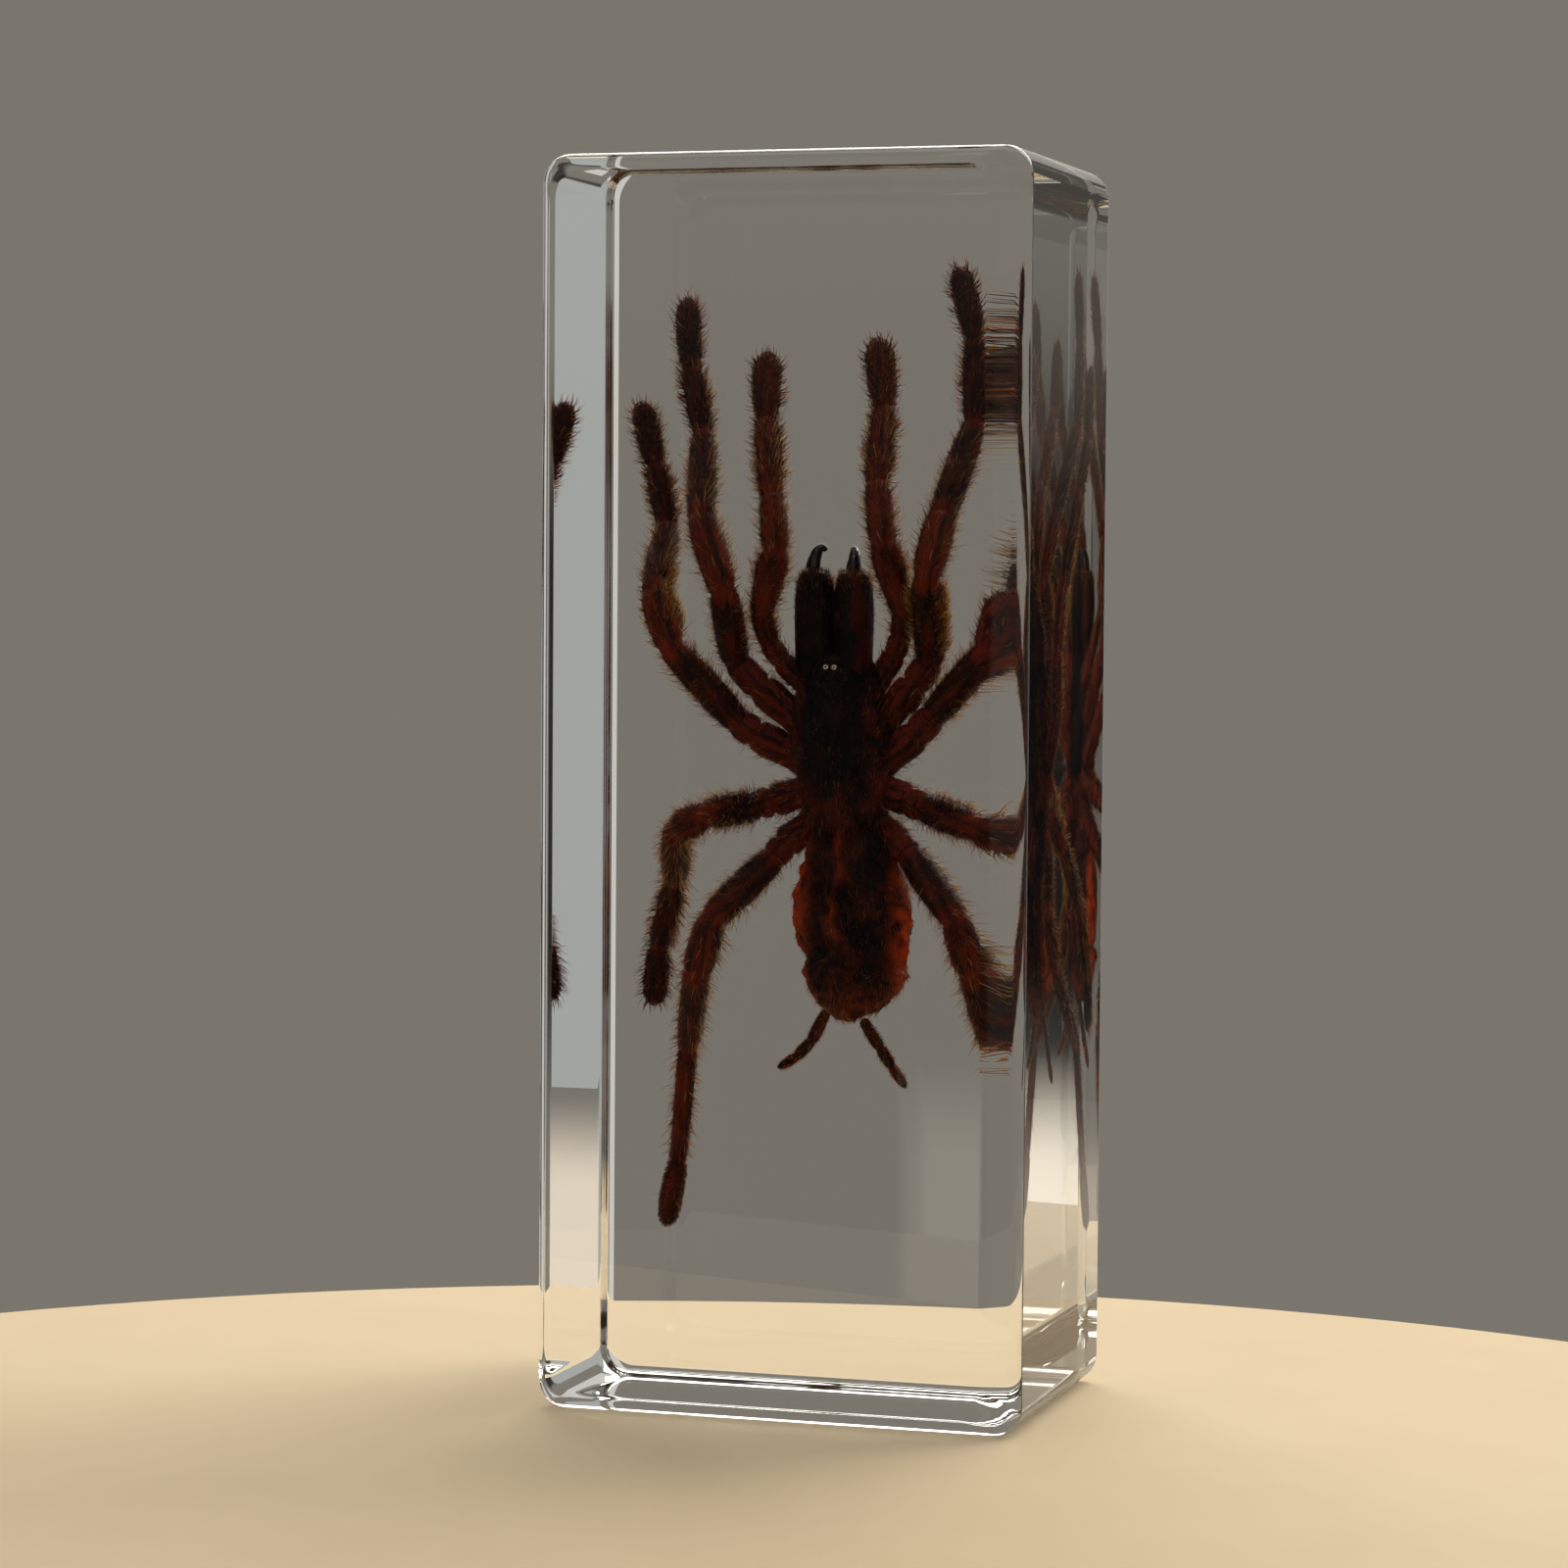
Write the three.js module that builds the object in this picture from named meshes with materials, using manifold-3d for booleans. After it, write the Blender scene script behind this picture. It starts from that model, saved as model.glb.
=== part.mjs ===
// A tarantula cast in a clear resin block that stands on its small end.
// Millimetres, +Z up. The origin is the middle of the block's foot, and -Y is the side it is seen from.

import * as THREE from 'three';
import { mergeVertices } from 'three/addons/utils/BufferGeometryUtils.js';
import Module from 'manifold-3d';

const wasm = await Module();
wasm.setup();

// The block
const BLOCK_WIDTH = 44;
const BLOCK_DEPTH = 30;
const BLOCK_HEIGHT = 110;
const CORNER_RADIUS = 2.5;
const CORNER_STEPS = 4;
const EDGE_RADIUS = 1.7;
const EDGE_STEPS = 3;

// The right front edge eases off as a shallow arc, up to this lean in radians, before it rounds over
const EASED_RADIUS = 8.5;
const EASED_LEAN = 0.32;
const EASED_STEPS = 2;

// The spider lies with its back to the front, head up. The middle of its head shield is here,
// and the resin is parted in the upright plane through it.
const SPIDER_AT = [1.4, 6.5, 58];

// Clearance between the spider and the resin around it
const POCKET_GAP = 0.4;

// Facets around each piece, and around the pocket of a limb
const SHIELD_SIDES = 14;
const ABDOMEN_SIDES = 18;
const JAW_SIDES = 12;
const LIMB_SIDES = 7;
const POCKET_SIDES = 6;

// Head shield with the breast plate under it: [radius, place along the body], tail end first
const SHIELD_PROFILE = [
  [0, -7.4], [2.6, -7.1], [3.6, -5.6], [4.0, -2.8], [4.25, 0.5],
  [4.1, 3.6], [3.6, 6.2], [2.9, 7.7], [1.7, 8.4], [0, 8.6],
];
const SHIELD_FLATNESS = 0.68;
const EYE_MOUND = { radius: 0.9, stretch: 1.4, at: [-0.2, -1.8, 6.7], sides: 8, rings: 5 };

// Abdomen, shrunken in drying: pinched before its tail end and creased lengthwise
const ABDOMEN_AT = [1.35, 0.5, -16];
const ABDOMEN_PROFILE = [
  [0, -8.2], [2.2, -8.0], [3.9, -6.5], [4.6, -4.7], [4.35, -3.1],
  [5.35, 0.2], [5.3, 3.0], [4.3, 5.5], [2.3, 7.3], [1.0, 8.1], [0, 8.2],
];
const ABDOMEN_FLATNESS = 0.68;
const CREASES = 6;
const CREASE_DEPTH = 0.04;

// Jaws: two blunt columns side by side in front of the head shield
const JAWS_AT = { jaw_left: [-2.2, -0.4, 8.9], jaw_right: [1.55, -0.4, 8.9] };
const JAW_PROFILE = [[0, 0], [1.62, 0.1], [1.72, 1.6], [1.72, 4.4], [1.5, 6.1], [1.15, 6.9], [0, 7.0]];
const JAW_THICKNESS = 1.3;

// Limb joints: [across, depth, along] from the head shield's middle, hip first and tip last
const LEG_JOINTS = {
  leg_1_left: [
    [-5.2, 1.0, 3.6], [-7.4, 0.5, 5.5], [-9.6, 0, 7.8], [-9.7, -5.0, 14.0],
    [-12.4, -2.5, 20.6], [-13.6, 4.0, 28.2], [-15.0, 4.8, 34.2], [-15.5, 5.5, 40.3],
  ],
  leg_2_left: [
    [-5.2, 1.0, -0.1], [-7.8, 0.5, 1.3], [-9.4, 0, 2.4], [-14.6, -5.0, 9.0],
    [-16.5, -3.5, 13.8], [-16.7, 3.0, 19.8], [-18.3, 4.8, 25.4], [-19.9, 5.5, 30.9],
  ],
  leg_3_left: [
    [-4.6, 1.0, -4.2], [-6.2, 0.5, -4.7], [-7.4, 0, -5.1], [-11.2, -5.0, -5.8],
    [-14.2, -4.0, -7.3], [-15.9, 3.5, -12.1], [-17.9, 5.5, -18.7], [-18.4, 6.0, -23.7],
  ],
  leg_4_left: [
    [-3.9, 1.2, -7.6], [-5.0, 0.6, -8.6], [-5.9, 0, -9.8], [-10.6, -5.0, -15.1],
    [-12.3, -3.5, -20.1], [-14.7, 4.0, -27.5], [-15.9, 5.5, -37.9], [-17.1, 6.0, -43.9],
  ],
  leg_1_right: [
    [5.2, 1.0, 3.9], [7.0, 0.5, 5.9], [8.5, 0, 8.0], [9.0, -5.5, 15.4],
    [9.8, -2.3, 20.7], [11.6, 4.2, 29.0], [11.4, 5.0, 36.6], [9.8, 5.5, 42.7],
  ],
  leg_2_right: [
    [5.4, 1.0, 0.0], [7.2, 0.5, 1.5], [8.8, 0, 3.2], [14.5, -5.0, 8.9],
    [15.9, -4.5, 14.2], [15.6, 1.8, 23.0], [15.7, 4.8, 28.0], [15.8, 5.5, 34.3],
  ],
  leg_3_right: [
    [4.9, 1.0, -3.8], [6.6, 0.5, -4.4], [8.0, 0, -5.0], [13.5, -4.9, -6.4],
    [16.8, -4.3, -8.0], [17.3, 2.3, -14.5], [17.2, 5.2, -20.5], [17.0, 6.0, -25.6],
  ],
  leg_4_right: [
    [4.5, 1.2, -7.2], [5.6, 0.6, -8.2], [6.7, 0, -9.2], [11.8, -5.0, -14.5],
    [13.1, -3.5, -19.2], [13.8, 4.2, -26.8], [16.5, 4.8, -38.0], [17.3, 5.9, -43.7],
  ],
};
const PALP_JOINTS = {
  pedipalp_left: [
    [-4.3, 1.2, 6.7], [-5.4, 0.6, 7.9], [-6.4, -0.3, 9.5], [-6.8, -2.0, 12.1],
    [-5.1, -4.0, 17.6], [-5.9, -2.0, 22.4], [-7.4, 2.5, 29.3], [-7.7, 4.5, 35.3],
  ],
  pedipalp_right: [
    [4.2, 1.2, 7.2], [5.1, 0.6, 8.5], [5.8, -0.3, 10.2], [6.3, -1.8, 12.3],
    [4.7, -4.0, 18.5], [3.8, -2.0, 23.6], [3.6, 2.5, 30.3], [2.6, 4.5, 36.5],
  ],
};
const FANG_JOINTS = {
  fang_left: [[-2.35, -0.2, 16.3], [-2.15, -0.1, 17.2], [-1.75, 0.1, 18.0], [-1.15, 0.4, 17.7]],
  fang_right: [[1.4, -0.2, 16.3], [1.45, 0, 17.0], [1.3, 0.6, 17.7], [1.05, 1.4, 17.8]],
};
const SPINNERET_JOINTS = {
  spinneret_left: [[-1.4, 1.9, -23.9], [-2.7, 2.4, -26.3], [-4.2, 2.8, -27.8], [-6.0, 3.0, -28.9]],
  spinneret_right: [[2.5, 1.9, -24.6], [3.8, 1.9, -26.6], [4.9, 1.8, -28.2], [6.3, 1.7, -30.1]],
};

// Limb radii: one at each joint, and two along the swelling of each segment after it
const LEG_GIRTH = {
  joints: [1.4, 1.35, 1.25, 1.25, 1.2, 0.95, 0.8, 0.4],
  swells: [[1.6, 1.55], [1.45, 1.4], [1.45, 1.4], [1.45, 1.5], [1.35, 1.25], [1.1, 1.05], [1.05, 1.05]],
};
const HIND_LEG_GIRTH = {
  joints: [1.3, 1.3, 1.2, 1.25, 1.2, 0.9, 0.75, 0.4],
  swells: [[1.5, 1.45], [1.35, 1.3], [1.45, 1.4], [1.45, 1.5], [1.25, 1.15], [0.9, 0.85], [1.0, 0.95]],
};
const PALP_GIRTH = {
  joints: [1.05, 1.0, 0.95, 1.05, 1.15, 1.0, 0.85, 0.4],
  swells: [[1.15, 1.1], [1.05, 1.0], [1.0, 1.0], [1.25, 1.45], [1.25, 1.15], [1.15, 1.1], [1.2, 1.25]],
};
const FANG_GIRTH = {
  joints: [0.68, 0.56, 0.38, 0.12],
  swells: [[0.68, 0.62], [0.52, 0.46], [0.32, 0.25]],
};
const SPINNERET_GIRTH = {
  joints: [0.5, 0.5, 0.46, 0.18],
  swells: [[0.58, 0.58], [0.56, 0.55], [0.52, 0.46]],
};
const SWELLS_AT = [0.28, 0.76];
const TIP_AT = 0.93;
const TIP_TAPER = 0.8;

const FINISHES = {
  resin: { color: '#dfe6e4', roughness: 0.05, metalness: 0, transparent: true, opacity: 0.3 },
  shell: { color: '#1d0f0b', roughness: 0.45, metalness: 0 },
  limb: { color: '#3a120b', roughness: 0.5, metalness: 0 },
  abdomen: { color: '#4a1f0e', roughness: 0.6, metalness: 0 },
  fang: { color: '#0c0b0d', roughness: 0.2, metalness: 0 },
};

// A closed solid from a geometry, and a geometry from a closed solid
function solidOf(geometry) {
  const corners = geometry.index ? geometry.toNonIndexed() : geometry.clone();
  corners.deleteAttribute('normal');
  corners.deleteAttribute('uv');
  const welded = mergeVertices(corners, 1e-4);
  const vertProperties = Float32Array.from(welded.attributes.position.array);
  const triVerts = Uint32Array.from(welded.index.array);
  return new wasm.Manifold(new wasm.Mesh({ numProp: 3, vertProperties, triVerts }));
}

function geometryOf(solid) {
  const { vertProperties, triVerts } = solid.getMesh();
  const geometry = new THREE.BufferGeometry();
  geometry.setAttribute('position', new THREE.BufferAttribute(vertProperties, 3));
  geometry.setIndex(new THREE.BufferAttribute(triVerts, 1));
  geometry.computeVertexNormals();
  return geometry;
}

// Moves each corner of a geometry to the place that a function gives it
function reshape(geometry, place) {
  const position = geometry.attributes.position;
  const corner = new THREE.Vector3();
  for (let i = 0; i < position.count; i += 1) {
    place(corner.fromBufferAttribute(position, i));
    position.setXYZ(i, corner.x, corner.y, corner.z);
  }
  geometry.computeVertexNormals();
  return geometry;
}

// How far in from the block's side a plain rounded edge is, where it has dropped this far below the face
function plainInset(drop) {
  return EDGE_RADIUS - Math.sqrt(drop * (2 * EDGE_RADIUS - drop));
}

// The edges of a face, step by step from the face outwards: the drop, and the left and right edges' insets
function backLevels() {
  const levels = [];
  for (let i = 0; i <= EDGE_STEPS; i += 1) {
    const drop = EDGE_RADIUS * (1 - Math.cos((0.5 * Math.PI * i) / EDGE_STEPS));
    levels.push({ drop, left: plainInset(drop), right: plainInset(drop) });
  }
  return levels;
}

function frontLevels() {
  const turn = (EDGE_RADIUS - EASED_RADIUS * (1 - Math.cos(EASED_LEAN))) / Math.cos(EASED_LEAN);
  const reach = (EASED_RADIUS - turn) * Math.sin(EASED_LEAN) + turn;
  const levels = [];
  const addLevel = (drop, right) => levels.push({ drop, left: plainInset(drop), right });
  for (let i = 0; i <= EASED_STEPS; i += 1) {
    const lean = (EASED_LEAN * i) / EASED_STEPS;
    addLevel(EASED_RADIUS * (1 - Math.cos(lean)), reach - EASED_RADIUS * Math.sin(lean));
  }
  for (let i = 1; i <= EDGE_STEPS; i += 1) {
    const lean = EASED_LEAN + ((0.5 * Math.PI - EASED_LEAN) * i) / EDGE_STEPS;
    addLevel(EDGE_RADIUS - turn * Math.cos(lean), turn * (1 - Math.sin(lean)));
  }
  return levels;
}

// The block: a round-cornered outline, drawn in towards the front and back faces along their edges
function blockGeometry() {
  const halfWidth = BLOCK_WIDTH / 2;
  const halfHeight = BLOCK_HEIGHT / 2;
  const cornerX = halfWidth - CORNER_RADIUS;
  const cornerY = halfHeight - CORNER_RADIUS;
  const outline = new THREE.Shape();
  outline.absarc(cornerX, cornerY, CORNER_RADIUS, 0, 0.5 * Math.PI);
  outline.absarc(-cornerX, cornerY, CORNER_RADIUS, 0.5 * Math.PI, Math.PI);
  outline.absarc(-cornerX, -cornerY, CORNER_RADIUS, Math.PI, 1.5 * Math.PI);
  outline.absarc(cornerX, -cornerY, CORNER_RADIUS, 1.5 * Math.PI, 2 * Math.PI);
  outline.closePath();

  const levels = [
    ...backLevels().map((level) => ({ ...level, depth: BLOCK_DEPTH / 2 - level.drop })),
    ...frontLevels().reverse().map((level) => ({ ...level, depth: level.drop - BLOCK_DEPTH / 2 })),
  ];
  const steps = levels.length - 1;
  const bar = { depth: 1, steps, curveSegments: CORNER_STEPS, bevelEnabled: false };
  return reshape(new THREE.ExtrudeGeometry(outline, bar), (corner) => {
    const { drop, left, right, depth } = levels[Math.round(corner.z * steps)];
    const across = corner.x * (1 - (left + right) / BLOCK_WIDTH) + (left - right) / 2;
    const up = halfHeight + corner.y * (1 - plainInset(drop) / halfHeight);
    corner.set(across, depth, up);
  });
}

// A body part turned about the spider's long axis, then flattened between back and belly
function turnedGeometry(profile, sides, flatness) {
  const points = profile.map(([radius, along]) => new THREE.Vector2(radius, along));
  const turned = new THREE.LatheGeometry(points, sides);
  return turned.rotateX(Math.PI / 2).scale(1, flatness, 1);
}

function shieldGeometry() {
  const plate = turnedGeometry(SHIELD_PROFILE, SHIELD_SIDES, SHIELD_FLATNESS);
  const mound = new THREE.SphereGeometry(EYE_MOUND.radius, EYE_MOUND.sides, EYE_MOUND.rings);
  mound.scale(EYE_MOUND.stretch, 1, 1).translate(...EYE_MOUND.at);
  return geometryOf(solidOf(plate).add(solidOf(mound)));
}

function abdomenGeometry() {
  const sack = turnedGeometry(ABDOMEN_PROFILE, ABDOMEN_SIDES, 1);
  const creased = reshape(sack, (corner) => {
    const crease = 1 + CREASE_DEPTH * Math.cos(CREASES * Math.atan2(corner.y, corner.x));
    corner.set(corner.x * crease, corner.y * crease * ABDOMEN_FLATNESS, corner.z);
  });
  return creased.translate(...ABDOMEN_AT);
}

function jawGeometry(at) {
  return turnedGeometry(JAW_PROFILE, JAW_SIDES, JAW_THICKNESS).translate(...at);
}

// The rings of a limb, hip to tip: at each joint, and at the swellings of the segment after it,
// which keep clear of the joints' slanted rings
function limbRings(joints, girth, swellsAt, grow) {
  const points = joints.map((joint) => new THREE.Vector3(...joint));
  const last = points.length - 1;
  const headings = points.slice(1).map((point, i) => point.clone().sub(points[i]).normalize());
  const headingInto = (i) => headings[Math.max(i - 1, 0)];
  const headingOutOf = (i) => headings[Math.min(i, last - 1)];
  const slantAt = (i) => {
    const halfBend = headingInto(i).angleTo(headingOutOf(i)) / 2;
    return (girth.joints[i] + grow) * Math.tan(halfBend);
  };
  const rings = [];
  const addRing = (centre, heading, radius) => rings.push({ centre, heading, radius: radius + grow });

  for (let i = 0; i < last; i += 1) {
    const heading = headings[i];
    const length = points[i].distanceTo(points[i + 1]);
    const middle = headingInto(i).clone().add(heading).normalize();
    addRing(points[i], middle, girth.joints[i]);
    swellsAt.forEach((share, k) => {
      const clear = Math.min(Math.max(share * length, slantAt(i)), length - slantAt(i + 1));
      addRing(points[i].clone().addScaledVector(heading, clear), heading, girth.swells[i][k]);
    });
  }
  const tipHeading = headings[last - 1];
  const nearTip = points[last - 1].clone().lerp(points[last], TIP_AT);
  addRing(nearTip, tipHeading, TIP_TAPER * girth.swells[last - 1].at(-1));
  addRing(points[last], tipHeading, girth.joints[last]);
  rings[0].centre.addScaledVector(headings[0], -grow);
  rings.at(-1).centre.addScaledVector(tipHeading, grow);
  return rings;
}

// A limb: a cylinder whose rings are carried along the joints
function limbGeometry(joints, girth, sides = LIMB_SIDES, swellsAt = SWELLS_AT, grow = 0) {
  const rings = limbRings(joints, girth, swellsAt, grow);
  const last = rings.length - 1;
  const depthAxis = new THREE.Vector3(0, 1, 0);
  const tube = new THREE.CylinderGeometry(1, 1, 1, sides, last);
  return reshape(tube, (corner) => {
    const { centre, heading, radius } = rings[Math.round((0.5 - corner.y) * last)];
    const sideways = heading.clone().cross(depthAxis).normalize();
    const outward = sideways.clone().cross(heading);
    const { x, z } = corner;
    corner.copy(centre);
    corner.addScaledVector(outward, x * radius);
    corner.addScaledVector(heading.clone().cross(outward), z * radius);
  });
}

// The room that a piece takes up in the resin: the piece itself, grown all round
function roomForBody(geometry) {
  geometry.computeBoundingBox();
  const size = geometry.boundingBox.getSize(new THREE.Vector3());
  const centre = geometry.boundingBox.getCenter(new THREE.Vector3());
  const grown = size.clone().addScalar(2 * POCKET_GAP).divide(size);
  const room = geometry.clone().translate(-centre.x, -centre.y, -centre.z);
  room.scale(grown.x, grown.y, grown.z);
  return room.translate(centre.x, centre.y, centre.z);
}

function roomForLimb(joints, girth) {
  const swellBefore = (i) => girth.swells[i - 1]?.[1] ?? 0;
  const swellAfter = (i) => girth.swells[i]?.[0] ?? 0;
  const last = girth.joints.length - 1;
  const widest = girth.joints.map((radius, i) => {
    return i === last ? radius : Math.max(radius, swellBefore(i), swellAfter(i));
  });
  const facetLoss = 1 / Math.cos(Math.PI / POCKET_SIDES) - 1;
  const grow = POCKET_GAP + facetLoss * (POCKET_GAP + Math.max(...widest));
  return limbGeometry(joints, { joints: widest, swells: girth.swells }, POCKET_SIDES, [], grow);
}

const spider = new THREE.Group();
spider.position.set(...SPIDER_AT);
const rooms = [];

function addPiece(name, finish, geometry, room) {
  const piece = new THREE.Mesh(geometry, new THREE.MeshStandardMaterial(FINISHES[finish]));
  piece.name = name;
  spider.add(piece);
  rooms.push(solidOf(room.translate(...SPIDER_AT)));
}

function addBody(name, finish, geometry) {
  addPiece(name, finish, geometry, roomForBody(geometry));
}

function addLimbs(limbs, finish, girthOf) {
  for (const [name, joints] of Object.entries(limbs)) {
    const girth = girthOf(name);
    addPiece(name, finish, limbGeometry(joints, girth), roomForLimb(joints, girth));
  }
}

addBody('head_shield', 'shell', shieldGeometry());
addBody('abdomen', 'abdomen', abdomenGeometry());
for (const [name, at] of Object.entries(JAWS_AT)) {
  addBody(name, 'shell', jawGeometry(at));
}
addLimbs(FANG_JOINTS, 'fang', () => FANG_GIRTH);
addLimbs(PALP_JOINTS, 'limb', () => PALP_GIRTH);
addLimbs(LEG_JOINTS, 'limb', (name) => (name.startsWith('leg_4') ? HIND_LEG_GIRTH : LEG_GIRTH));
addLimbs(SPINNERET_JOINTS, 'limb', () => SPINNERET_GIRTH);

// The resin, parted in front of and behind the spider's middle, each half with its share of the pocket
const partingY = SPIDER_AT[1];
const block = solidOf(blockGeometry());
const pocket = rooms.reduce((all, room) => all.add(room));

function resinHalf(name, side) {
  const halfSpace = new THREE.BoxGeometry(2 * BLOCK_WIDTH, 2 * BLOCK_DEPTH, 2 * BLOCK_HEIGHT);
  halfSpace.translate(0, partingY + side * BLOCK_DEPTH, BLOCK_HEIGHT / 2);
  const half = block.intersect(solidOf(halfSpace)).subtract(pocket);
  const piece = new THREE.Mesh(geometryOf(half), new THREE.MeshStandardMaterial(FINISHES.resin));
  piece.name = name;
  return piece;
}

const part = new THREE.Group();
part.add(spider);
part.add(resinHalf('resin_front', -1));
part.add(resinHalf('resin_back', 1));

export default part;
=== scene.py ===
# A dried tarantula cast in a clear resin block: its looks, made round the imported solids. Metres, +Z up.
import math
from collections import namedtuple

import bmesh
import bpy
import numpy as np
from mathutils import Matrix, Vector


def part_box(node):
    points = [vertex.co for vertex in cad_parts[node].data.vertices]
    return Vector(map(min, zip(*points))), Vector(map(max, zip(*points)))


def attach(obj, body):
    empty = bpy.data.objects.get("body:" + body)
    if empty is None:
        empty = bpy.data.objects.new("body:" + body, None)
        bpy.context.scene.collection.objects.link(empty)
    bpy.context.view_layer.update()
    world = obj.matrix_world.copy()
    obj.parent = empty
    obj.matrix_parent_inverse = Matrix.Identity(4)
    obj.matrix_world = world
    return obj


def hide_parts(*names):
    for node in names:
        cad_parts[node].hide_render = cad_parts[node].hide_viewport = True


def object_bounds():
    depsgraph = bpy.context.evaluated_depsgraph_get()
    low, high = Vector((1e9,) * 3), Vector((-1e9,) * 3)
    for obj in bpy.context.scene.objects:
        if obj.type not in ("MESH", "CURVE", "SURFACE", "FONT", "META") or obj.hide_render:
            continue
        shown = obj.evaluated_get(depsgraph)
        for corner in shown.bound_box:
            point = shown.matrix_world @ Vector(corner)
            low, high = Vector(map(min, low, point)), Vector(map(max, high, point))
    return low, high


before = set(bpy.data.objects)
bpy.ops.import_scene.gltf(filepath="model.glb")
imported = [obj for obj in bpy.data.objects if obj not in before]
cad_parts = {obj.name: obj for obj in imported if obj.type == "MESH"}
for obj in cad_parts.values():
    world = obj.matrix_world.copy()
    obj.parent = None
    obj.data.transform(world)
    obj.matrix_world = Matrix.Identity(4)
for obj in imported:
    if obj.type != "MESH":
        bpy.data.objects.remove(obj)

solids_low, solids_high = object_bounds()

MM = 0.001
UP = Vector((0, 0, 1))
WELD = 0.001 * MM
LEAST_TURN = 1e-5
LEAST_LENGTH = 1e-9      # keeps a division away from nought

# Camera: the photograph's place, aim and framing
CAMERA_AT = Vector((114.7, -379.8, 74.8)) * MM
CAMERA_TURN = math.radians(17.34)
CAMERA_DIP = math.radians(2.88)
CAMERA_ROLL = math.radians(0.39)
CAMERA_LENS = 102.2
CAMERA_SENSOR = 36.0

# Resin block: round corners and edges; the right front edge eases off as a shallow arc before it rounds over
CORNER_RADIUS = 2.5 * MM
CORNER_STEPS = 8
EDGE_RADIUS = 1.7 * MM
BACK_EDGE_RADIUS = 1.0 * MM
EDGE_STEPS = 8
EASED_RADIUS = 8.5 * MM
EASED_LEAN = 0.32
EASED_STEPS = 8
FACING = 0.9             # least share of a face's normal that picks it out

# Limbs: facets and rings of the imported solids, and of the dressed limbs
SOLID_FACETS = 7
SOLID_RINGS_PER_SEGMENT = 3
LIMB_FACETS = 10
RING_SPACING = 0.8 * MM
LEAST_BEND = 0.32 * MM
BEND_PER_RADIUS = 1.1
MOST_BEND = 0.42         # of the shorter segment at a joint
LIMB_SUBDIVISIONS = 2
BODY_SUBDIVISIONS = 3
ROUNDING_LOSS = 1.06
GRAIN_STRETCH = 0.18

LEGS = [f"leg_{pair}_{side}" for side in ("left", "right") for pair in (1, 2, 3, 4)]
PALPS = ["pedipalp_left", "pedipalp_right"]
JAWS = ["jaw_left", "jaw_right"]
FANGS = ["fang_left", "fang_right"]
SPINNERETS = ["spinneret_left", "spinneret_right"]

# Dressed limbs: how far their roots run into the body, and the waist and rim at each joint
LEG_ROOT = 2.8 * MM
LEG_WAIST = 0.86
FANG_ROOT = 0.5 * MM
SPINNERET_ROOT = 0.7 * MM
SPINNERET_WAIST = 0.85
JOINT_RIM = 1.03

Station = namedtuple("Station", "place heading radius")
Shape = namedtuple("Shape", "corners normals triangles")

shield_low, shield_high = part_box("head_shield")
shield_middle = (shield_low + shield_high) / 2
abdomen_low, abdomen_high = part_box("abdomen")
abdomen_middle = (abdomen_low + abdomen_high) / 2


# Modelling helpers

def deselect():
    bpy.ops.object.select_all(action="DESELECT")


def make_active(piece):
    deselect()
    piece.select_set(True)
    bpy.context.view_layer.objects.active = piece


def settle(piece):
    """Puts a piece's place and turn in its mesh."""
    make_active(piece)
    bpy.ops.object.transform_apply(location=True, rotation=True, scale=True)


def apply_modifier(piece, kind, **settings):
    make_active(piece)
    modifier = piece.modifiers.new(kind.lower(), kind)
    for setting, value in settings.items():
        setattr(modifier, setting, value)
    bpy.ops.object.modifier_apply(modifier=modifier.name)


def subdivide(piece, levels):
    apply_modifier(piece, "SUBSURF", levels=levels, render_levels=levels)


def ruffle(piece, size, height):
    """Gentle lumps of the given size and height all over a piece."""
    lumps = bpy.data.textures.new(f"{piece.name}_lumps", "CLOUDS")
    lumps.noise_scale = size
    lumps.noise_depth = 2
    apply_modifier(piece, "DISPLACE", texture=lumps, texture_coords="GLOBAL", strength=height, mid_level=0.5)


def shade_round(piece):
    make_active(piece)
    bpy.ops.object.shade_smooth()


def make_disc(name, facets, radius, place, heading):
    """A flat disc that faces along a heading."""
    deselect()
    lean = UP.rotation_difference(heading).to_euler()
    bpy.ops.mesh.primitive_circle_add(
        vertices=facets, radius=radius, fill_type="NGON", location=place, rotation=lean)
    disc = bpy.context.active_object
    disc.name = name
    settle(disc)
    return disc


def round_off(piece, levels):
    """Leaves edit mode with all faces turned outwards and in a set order, and subdivides the piece."""
    bpy.ops.mesh.select_all(action="SELECT")
    bpy.ops.mesh.normals_make_consistent(inside=False)
    # Extruding numbers edges and faces differently in each run
    bpy.ops.mesh.sort_elements(type="CURSOR_DISTANCE", elements={"VERT", "EDGE", "FACE"})
    bpy.ops.object.mode_set(mode="OBJECT")
    subdivide(piece, levels)


def select_faces(piece, wanted):
    """In edit mode: selects only the faces that a test on their normal picks out."""
    bpy.ops.mesh.select_all(action="DESELECT")
    bpy.ops.object.mode_set(mode="OBJECT")
    for face in piece.data.polygons:
        face.select = wanted(face.normal)
    bpy.ops.object.mode_set(mode="EDIT")
    bpy.ops.mesh.select_mode(type="FACE")


def select_edges(piece, wanted):
    """In edit mode: selects only the edges that a test on their two ends picks out."""
    bpy.ops.mesh.select_mode(type="EDGE")
    bpy.ops.mesh.select_all(action="DESELECT")
    bpy.ops.object.mode_set(mode="OBJECT")
    corners = piece.data.vertices
    for edge in piece.data.edges:
        first, second = edge.vertices
        edge.select = wanted(corners[first].co, corners[second].co)
    bpy.ops.object.mode_set(mode="EDIT")


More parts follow.
